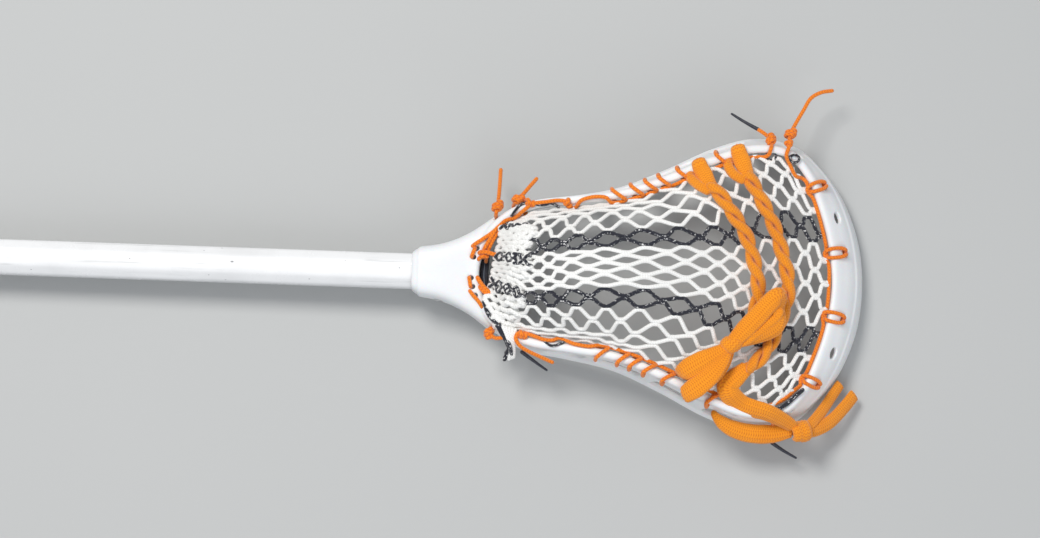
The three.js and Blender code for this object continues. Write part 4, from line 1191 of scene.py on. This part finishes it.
def right_sidewall_string(m):
    """Knotted at the throat and hitched along the right rail, with two ends that hang outside it."""
    points = [(94.5, -57.5, 14), (86, -54.2, 18), (78, -51, 22), (72.5, -47.6, 24.6), (70, -43, 25.2)]
    points += [(71.5, -39.8, 24.6), (75.5, -39.6, 24)]
    points += rails(-1, (82, 300, 4.6), (88, 318), (93.5, 312), (98, 288, 5.6), (102.5, 296, 4.8),
                    (108, 318), (118, 322))
    winding(m, (74, -40.6, 24.4), (1, 0, 0), size=0.75, turns=1.2)
    for along, skew in ((127.5, 4.4), (141, 3.4), (149, 3.2), (158.5, 3.4), (171, 3.2), (200, 2.6)):
        points += [rail(-1, along - 3.5, 286, 4.9), *hitch(-1, along, skew)]
    points += rails(-1, (207, 290, 5.2), (226, 290, 5.2), (234, 330, 4.1), (238, 20, 4.1))
    points += [(241, -93.5, 7), (241.4, -99, 0), (241.5, -105, -3)]
    string(m, points)
    tip(m, [(241.4, -105, -2.9), (249, -109.6, -5.5), (257.5, -114, -8)])
    tip(m, [(74.5, -51.8, 17.5), (83, -57.5, 13.5), (91, -62.6, 9)])


def scoop_loop(s):
    """The top string round one hole of the scoop: out to the hole on one side and back on the other."""
    near, far, wide = 0.08, 0.06, 0.105  # stations from the hole's middle
    return [
        beside(s - 0.26, 327, 3.75), beside(s - near, 322, 4.1), beside(s + near * 0.8, 338, 4.0),
        beside(s + wide, 15, 3.75), wall_point(s + wide, 0.13, 3.1), wall_point(s + far, 0.22, 3.3),
        wall_point(s + 0.03, SCOOP_DEPTH, 1.6), wall_point(s + 0.02, SCOOP_DEPTH, -2.6),
        wall_point(s - 0.02, SCOOP_DEPTH, -2.6), wall_point(s - 0.03, SCOOP_DEPTH, 1.6),
        wall_point(s - far, 0.22, 3.3), wall_point(s - wide, 0.13, 3.1), beside(s - wide, 15, 3.75),
        beside(s - near * 0.7, 340, 5.4), beside(s + near, 326, 5.4), beside(s + 0.26, 327, 3.75),
    ]


def top_string(m):
    """From two knots on the left, along the scoop and round its four holes, to the right rail."""
    points = [(273.4, 129.2, 3), (266, 127.4, 6), (259.4, 123.2, 8), (254.4, 114.5, 10), (249.5, 105.5, 12.5)]
    points += [(246.2, 98.4, 15.5), (245.2, 93, 18.5), (245.0, 89, 21)]
    winding(m, (246.2, 98.2, 15.4), (0.35, 1, -0.3), size=1.05)
    winding(m, (244.9, 91.4, 19.4), (0.5, 0.9, -0.4), size=0.7, turns=0.9)
    points += [beside(10.02, 350, 4.2), (246.6, 77, 17.5), (250.5, 70.5, 15.5), beside(10.95, 295, 4.6)]
    for s in TOP_HOLES:
        points += scoop_loop(s)
    for s in reversed(TOP_HOLES):
        points += scoop_loop(AROUND - s)
    points += [beside(AROUND - 10.95, 295, 4.6), (248.6, -75.5, 15.5), (243, -79, 17), (237.5, -81, 17.6)]
    points += [(231, -83.4, 18)]
    string(m, points)


def stitch(v_from, v_to):
    """A short stitch lying on the throat between two of its holes."""
    a, b = throat_hole(v_from)[0], throat_hole(v_to)[0]
    step = (b - a) * 0.14
    sunk, low, lying = (0.2, 0, -8), (0.2, 0, -2.6), (0.2, 0, -0.8)
    return [a + sunk, a + low, a + step + lying, (a + b) / 2 + lying, b - step + lying, b + low, b + sunk]


def bottom_string(m):
    """From a knot at the left shoulder, in stitches over the throat, to a knot at the right one."""
    points = [(56.2, 69, 3), (56, 60, 8.5), (55.6, 50.5, 14), (55, 43.5, 17.4), (54.3, 39, 18)]
    winding(m, (55.1, 43.4, 17.4), (0.1, 1, -0.25), size=1.05)
    points += [wall_point(SHOULDER_HOLE, SHOULDER_DEPTH, off) for off in (3.2, -4)]
    points += [(58.5, 31.5, 15.5), (55.6, 29.5, 18.2), (50.8, 21.6, 19.2), (47.6, 15.6, 18.2)]
    string(m, [*points, (46.8, 12, 14), (46.4, 10, 10)])
    string(m, stitch(9.8, 15.6))
    over = [(39.6, 16.9, 11), (39.7, 17.0, 16.6), (42.4, 19, 18.4), (47, 22.2, 18.4), (52.4, 26.2, 18.6)]
    over += [(57.5, 31.2, 18.8), (60.5, 34, 19.8), *rails(1, (65, 303), (70.5, 330), (74, 350), (76.4, 10))]
    string(m, over + [wall_point(3.56, SIDE_DEPTH, off) for off in (3.2, -3)])
    string(m, [(60.5, 31.8, 13), (56.8, 27.4, 17), (53, 21.2, 18), (50.2, 15, 17), (49, 10.4, 14),
               (48.6, 7.6, 9)])
    string(m, [(43.4, 11, 12), (44.8, 12.8, 17.4), (48.6, 13, 19.4), (54.5, 11.4, 20.4), (58, 10.6, 19.4)],
           radius=1.5)
    string(m, [(43.0, 5.8, 10), (43.8, 8.4, 16.4), (46.2, 10.2, 18), (49.4, 10.2, 17)])
    string(m, stitch(-4.0, -9.8))
    string(m, [(42.6, -2.6, 11), (43.6, -4, 16.4), (45.8, -7.4, 18), (48.8, -10.8, 18.6),
               (52, -13.4, 18.4)], radius=1.5)
    string(m, [(44.6, -8.5, 12), (45.4, -10.2, 16.4), (48, -13, 18.2), (52, -15.6, 18)])
    string(m, [(38.9, -12.7, 11), (38.9, -12.8, 16.6), (40.6, -15, 18.2), (43.8, -18.4, 18.2),
               (46.2, -21.4, 17.6), (48.4, -25, 14)])
    tail = [(52, -28.5, 13), *(wall_point(-SHOULDER_HOLE, SHOULDER_DEPTH, off) for off in (-3.6, 3.4))]
    tail += [(52.4, -39.4, 17.5), (56.4, -43.2, 20.5), (61.5, -43, 23), (66.5, -42.6, 23.6)]
    tail += [(71, -42.2, 22.5)]
    winding(m, (52.3, -39.8, 17.4), (0.5, -1, 0.3), size=1.05)
    string(m, tail)


# ---------- shooting laces ----------

# Half sizes of a twisted ply, and the half thickness of a flat band.
PLY_WIDE = 3.3
PLY_THICK = 2.5
BAND_THICK = 1.35
TWIST = 31.0  # length of one turn of the plies


def over_net(points, lift):
    """Places on the net, given as [along, out], raised clear of it; a third number adds to the lift."""
    out = []
    for p in points:
        extra = p[2] if len(p) > 2 else 0
        out.append((p[0], p[1], float(net_height(p[0], p[1])) + lift + extra))
    return out


def sweep(m, p, normals, widths, thicks, ribs, depth, sides=32, square=1.0, blunt=False, cup=0.0):
    """A lace along points: half widths across them and half thicknesses along the normals.

    Its face has ribs of a depth. A square under 1 fills out its corners, cup curls its edges down, and
    both ends are rounded, over a shorter length if blunt.
    """
    t = tangents(p)
    normals = across(normals, t)
    wide = np.cross(t, normals)
    a = np.arange(sides) / sides * 2 * math.pi
    c, s = np.cos(a), np.sin(a)
    c, s = np.sign(c) * np.abs(c) ** square, np.sign(s) * np.abs(s) ** square
    rib = 1 + depth * np.cos(ribs * math.pi * c) * np.abs(s)
    n = len(p)
    length = arc_lengths(p)
    away = np.minimum(length, length[-1] - length)
    end = np.sqrt(np.clip(away / (0.5 if blunt else 1.6), 0.05, 1))
    w = np.broadcast_to(widths, (n,)) * (0.85 + 0.15 * end if blunt else 0.25 + 0.75 * end)
    h = np.broadcast_to(thicks, (n,)) * end
    rings = (p[:, None] + (w[:, None] * c)[..., None] * wide[:, None]
             + (h[:, None] * s * rib - cup * w[:, None] * c**2)[..., None] * normals[:, None])
    m.loft(rings, along=length)


def rope(m, points, start_turn):
    """Two plies of lace twisted together, with net below: the twist is flattened a little."""
    p = path(points, 1.0)
    t = tangents(p)
    up = across(UP, t)
    wide = np.cross(t, up)
    length = arc_lengths(p)
    for ply in (0, 1):
        angle = 2 * math.pi * (length / TWIST + 0.5 * ply) + start_turn
        offset = 2.65 * np.cos(angle)[:, None] * wide + 1.75 * np.sin(angle)[:, None] * up
        centre = p + offset
        radial = unit(offset)
        widths = PLY_WIDE * (1 + 0.05 * np.sin(length / 3.1 + ply))
        sweep(m, centre, radial, widths, PLY_THICK, ribs=3, depth=0.06, sides=26)


def band(m, points, widths, turn, thick=BAND_THICK, blunt=False, cup=0.22):
    """A flat lace along points. Its face keeps to one side of the path and folds over where the path does."""
    p = path(points, 0.8)
    t = tangents(p)
    n = len(p)
    up = carried_normals(p, (0, 0, 1))
    wide = np.cross(t, up)
    a = np.radians(spread_out(turn, n))[:, None]
    normal = up * np.cos(a) + wide * np.sin(a)
    widths = spread_out(widths, n)
    sweep(m, p, normal, widths, thick, ribs=5, depth=0.22, sides=44, square=0.7, blunt=blunt, cup=cup)


def wound_lace(m, centre, direction, radius, turns, span):
    """A lace wound tight about itself."""
    centre = np.asarray(centre, float)
    d = unit(direction)
    u = across(UP, d)
    w = np.cross(d, u)
    a = np.linspace(-0.5, 2 * math.pi * turns + 0.5, 80)
    share = np.linspace(-1, 1, len(a))
    reach = radius * np.sqrt(np.clip(1 - share**8, 0.1, 1))
    p = centre + np.outer(share * span / 2 + 0.9 * np.cos(a), d)
    p = evenly(p + (reach * np.cos(a))[:, None] * w + (reach * 0.8 * np.sin(a))[:, None] * u, 0.8)
    sweep(m, p, radial_for(p, centre, d), 4.3, 2.3, ribs=4, depth=0.1, sides=30)


def radial_for(p, centre, d):
    """At each point, the direction straight away from an axis d through the centre."""
    r = p - np.asarray(centre, float)
    return unit(r - np.outer(r @ d, d))


def radial_rows(p, centre):
    """Normals that point away from the rail near it and straight up beyond."""
    away = unit(p - centre)
    up = np.tile(UP, (len(p), 1))
    blend = smooth(0.45, 0.75, np.linspace(0, 1, len(p)))[:, None]
    return unit(away * (1 - blend) + up * blend)


def lace_start(m, s, down, under):
    """A lace's left end: a length over the rail to the net, and one from the wall's hole to the net."""
    over = [beside(s, 64, 3.6), beside(s, 47, 5.1), beside(s, 22, 5.8), beside(s, 352, 6.1)]
    p = path(over + over_net(down, 5.2), 1.0)
    widths = np.interp(np.linspace(0, 1, len(p)), [0, 0.07, 0.5, 1], [2.6, 4.8, 5.8, 4.0])
    sweep(m, p, radial_rows(p, Wall(s).back[0]), widths, 2.4, ribs=4, depth=0.1)
    p = path([wall_point(s, LACE_DEPTH, -4.5), *over_net(under, 4.0)], 1.0)
    sweep(m, p, np.tile(UP, (len(p), 1)), PLY_WIDE, PLY_THICK, ribs=3, depth=0.08)


def rear_lace(m):
    """The rear lace from the left rail to its bow."""
    lace_start(m, station(187.3), [(191.5, 63.5), (195.5, 57, 0.6)],
               [(180.6, 66.4, -1.5), (185, 61), (194, 56, 0.2)])
    rope(m, over_net([(192.5, 61.5), (199, 55.5), (208, 43.5), (217, 30), (223.5, 12.5), (227.2, -6),
                      (225.5, -20), (220, -31), (213, -40)], 5.0), start_turn=0.6)


BOW_KNOT = (210.0, -43.2)


def bow(m):
    """The rear lace's bow: flat bands folded toward the scoop, and two loops toward the throat."""
    kx, ky = BOW_KNOT
    kz = float(net_height(kx, ky)) + 9.5
    top = [(kx, ky), (217, -35.2), (226, -25.2), (234, -15.8), (238.8, -11.6)]
    upper = [(a, o, kz + 2.8 - 0.02 * k) for k, (a, o) in enumerate(top)]
    upper += [(241.6, -11, kz + 1.2), (242.4, -13.5, kz - 0.8), (241, -18.5, kz - 2.0)]
    upper += [(241.6, -26, kz - 2.6), (239.6, -31, kz - 2.4), (231, -36.5, kz - 1.4)]
    upper += [(220, -41.2, kz - 0.8), (kx, ky, kz - 1)]
    band(m, upper, widths=[4.6, 6.2, 6.4, 6.2, 5.8, 5.4, 5.8, 4.6, 4.0], turn=[0, 0, 0, 14, 40, 20, 0])
    inner = [(kx, ky, kz - 0.2), (219, -38.5, kz), (230, -29.5, kz - 0.3), (238.5, -22.5, kz - 1.2)]
    band(m, [*inner, (240.5, -17.5, kz - 1.6)], widths=[4, 5.2, 5.4, 5, 4], turn=-14)
    left = [(kx - 1, ky - 1, kz + 0.6), (203, -48.2, kz + 2), (194, -53.6, kz + 1.6)]
    left += [(185, -59, kz - 0.6), (180, -62.4, kz - 3.4), (178.6, -64.2, kz - 6.6)]
    left += [(181.4, -64.4, kz - 9.2), (191, -59.4, kz - 6.2), (201.5, -52, kz - 2.8), (kx, ky, kz - 1)]
    band(m, left, widths=[3.4, 5.0, 6.8, 7.2, 5.6, 5.2, 6.8, 6.0, 4.2], turn=[6, -6, -8, -6, 4, 6, 0],
         cup=0.14)
    low = [(kx - 1.5, ky - 2.5, kz + 0.4), (205.2, -53.8, kz + 1.8), (198.6, -62.5, kz + 1.4)]
    low += [(190.6, -69.8, kz - 0.4), (184, -74.8, kz - 3.4), (180.6, -77, kz - 6.8)]
    low += [(181.6, -75.6, kz - 9.6), (191, -68.6, kz - 6.6), (201.5, -59.5, kz - 3), (kx, ky, kz - 1.6)]
    band(m, low, widths=[3.4, 4.8, 6.4, 7.0, 5.4, 5.0, 6.6, 5.8, 4], turn=[-14, 4, 8, 6, -4, -6, 0],
         cup=0.14)
    wound_lace(m, (kx, ky, kz - 0.4), (1, 1.05, 0), radius=4.2, turns=1.3, span=4.2)


def front_lace(m):
    """The front lace from the left rail across the net, then flat over the right rail to its knot."""
    lace_start(m, station(212.6), [(216, 73), (218.6, 66, 0.6)],
               [(205.2, 75.4, -1.5), (208.6, 69), (217, 64.6, 0.2)])
    rope(m, over_net([(216.8, 70), (222, 62), (229, 50), (237, 34.5), (242.6, 18), (246.6, 3),
                      (246.6, -12), (242, -27), (236, -42), (229, -52), (220.5, -59.5)], 4.8), start_turn=1.4)
    flat = over_net([(222.5, -56.5, 5.4), (215, -63.5, 5.4), (209.2, -70, 5.8), (210.4, -75, 6.2)], 0)
    flat += rails(-1, (217.5, 325, 5.4), (226, 345, 5.4), (236, 12, 5.4))
    flat += [(247.5, -91.5, 16), (255, -95.5, 10)]
    band(m, flat, widths=[4.5, 6.2, 7.2, 7.2, 7, 6.8, 6.4, 5.6, 4.4], turn=[0, 0, 4, 8, 14, 16])
    outer = [(200.4, -85.6, 14), (203.4, -89.8, 14), (211, -95.6, 12), (224, -99.6, 9.5)]
    outer += [(240, -99.8, 7.5), (254, -96.8, 7)]
    band(m, outer, widths=[1.6, 4.4, 5.8, 6.4, 6.6, 6.0, 4.6], turn=[6, 8, 10, 10, 14])
    knot = (259.2, -97.0, 6.5)
    wound_lace(m, knot, (1, 0.28, -0.3), radius=5.2, turns=1.6, span=8.2)
    first = [knot, (266.5, -92.4, 1.5), (274, -83, -5.5), (281, -72.2, -11), (286.5, -63.8, -14.5)]
    band(m, first, widths=[3.6, 4.4, 4.2, 4.0, 3.9], thick=1.5, turn=[10, 20, 24], blunt=True)
    second = [knot, (268.5, -95.6, -0.5), (279.5, -90, -7.5), (289, -80.2, -13.5), (296.4, -70.6, -17.5)]
    band(m, second, widths=[3.6, 4.8, 4.8, 4.8, 4.8], thick=1.5, turn=[0, 12, 18], blunt=True)


def lace_up(name, node, makers, materials, slot_name):
    """One string or lace as its own object."""
    m = Mesh()
    for maker in makers:
        maker(m)
    m.build(name, materials, "stick", node, slot_name)


# ---------- the scene ----------


# The heights at which the scoop and the cap rest on the floor, and how far apart they are.
SCOOP_REST = -27.6
CAP_REST = -17.7
REST_APART = 990.0


def lay_floor():
    """A plain pale floor, sloped so that the stick, level in this frame, lies on it."""
    slope = math.atan2(SCOOP_REST - CAP_REST, REST_APART)
    half = 6.0
    mesh = bpy.data.meshes.new("floor")
    corners = [(-half, -half, 0), (half, -half, 0), (half, half, 0), (-half, half, 0)]
    mesh.from_pydata(corners, [], [(0, 1, 2, 3)])
    floor = bpy.data.objects.new("floor", mesh)
    middle = Matrix.Translation((0.5, 0, (CAP_REST + SCOOP_REST) / 2 * MM))
    floor.matrix_world = middle @ Matrix.Rotation(-slope, 4, "Y")
    sh = Shader("floor_paint")
    tint = sh.mix(sh.noise(sh.place(), 1.5, 2), (0.46, 0.47, 0.465), (0.50, 0.505, 0.50))
    mesh.materials.append(sh.finish(tint, 0.75))
    bpy.context.scene.collection.objects.link(floor)


def hang_lamp(name, place, size, power, colour):
    """A round lamp aimed at the head, in metres and watts."""
    lamp = bpy.data.lights.new(name, "AREA")
    lamp.shape = "DISK"
    lamp.size = size
    lamp.energy = power
    lamp.color = colour
    obj = bpy.data.objects.new(name, lamp)
    obj.location = place
    aim = Vector((0.75, 0, 0)) - Vector(place)
    obj.rotation_euler = aim.to_track_quat("-Z", "Y").to_euler()
    bpy.context.scene.collection.objects.link(obj)


def light_sky():
    world = bpy.data.worlds.new("sky")
    world.use_nodes = True
    colour, strength = world.node_tree.nodes["Background"].inputs[:2]
    colour.default_value = (0.92, 0.95, 1, 1)
    strength.default_value = 0.5
    bpy.context.scene.world = world
    bpy.context.scene.view_settings.view_transform = "Standard"


def camera():
    """Almost straight above the back of the head, a little toward the stick's right."""
    lens, sensor = 150.0, 36.0
    wide = 685.5  # what the picture takes in, from side to side
    roll, lean = math.radians(2.0), math.radians(4.0)
    target = np.array([HEAD_START + 71.2, 3.6, 6.0])
    right = np.array([math.cos(roll), math.sin(roll), 0])
    flat_up = np.array([-math.sin(roll), math.cos(roll), 0])
    back = math.cos(lean) * UP - math.sin(lean) * flat_up
    up = np.cross(back, right)
    distance = wide * lens / sensor
    data = bpy.data.cameras.new("camera")
    data.lens = lens
    data.sensor_width = sensor
    data.clip_end = 20
    cam = bpy.data.objects.new("camera", data)
    place = (target + back * distance) * MM
    cam.matrix_world = Matrix((
        (right[0], up[0], back[0], place[0]),
        (right[1], up[1], back[1], place[1]),
        (right[2], up[2], back[2], place[2]),
        (0, 0, 0, 1),
    ))
    bpy.context.scene.collection.objects.link(cam)
    bpy.context.scene.camera = cam


# The second colour of each yarn is painted shade for the valleys of its knit, and the tint of its soil.
WHITE = yarn("net_white", (0.93, 0.93, 0.91), (0.72, 0.71, 0.67), 1.7, 5, 0.0002)
BLACK = yarn("net_black", (0.022, 0.024, 0.036), (0.006, 0.006, 0.009), 1.7, 5, 0.00022,
             fleck=(0.74, 0.74, 0.73), fleck_share=0.6)
THIN = [yarn("string_orange", (0.92, 0.245, 0.013), (0.56, 0.09, 0.004), 2.0, 4, 0.00025), hard_tip()]
LACE = [yarn("lace_orange", (0.92, 0.325, 0.012), (0.66, 0.135, 0.004), 1.6, 12, 0.00028)]

shaft(shaft_paint())
butt_cap(cap_rubber())
head_screw(screw_steel())
head_frame(head_plastic())
ball_stop(stop_foam())
pocket_net(WHITE, BLACK)
folded_end(WHITE, BLACK)
lace_up("left_sidewall_lacing", "sidewall_string_left", [left_sidewall_string], THIN, "thin_string")
lace_up("right_sidewall_lacing", "sidewall_string_right", [right_sidewall_string], THIN, "thin_string")
lace_up("top_lacing", "top_string", [top_string], THIN, "thin_string")
lace_up("bottom_lacing", "bottom_string", [bottom_string], THIN, "thin_string")
lace_up("rear_shooting_lace", "shooting_lace_rear", [rear_lace, bow], LACE, "lace_cotton")
lace_up("front_shooting_lace", "shooting_lace_front", [front_lace], LACE, "lace_cotton")

lay_floor()
hang_lamp("key", (0.2, 0.8, 1.9), 0.7, 30, (1, 0.98, 0.955))
hang_lamp("fill", (1.5, -1.3, 1.4), 1.6, 12, (0.94, 0.965, 1))
light_sky()
camera()
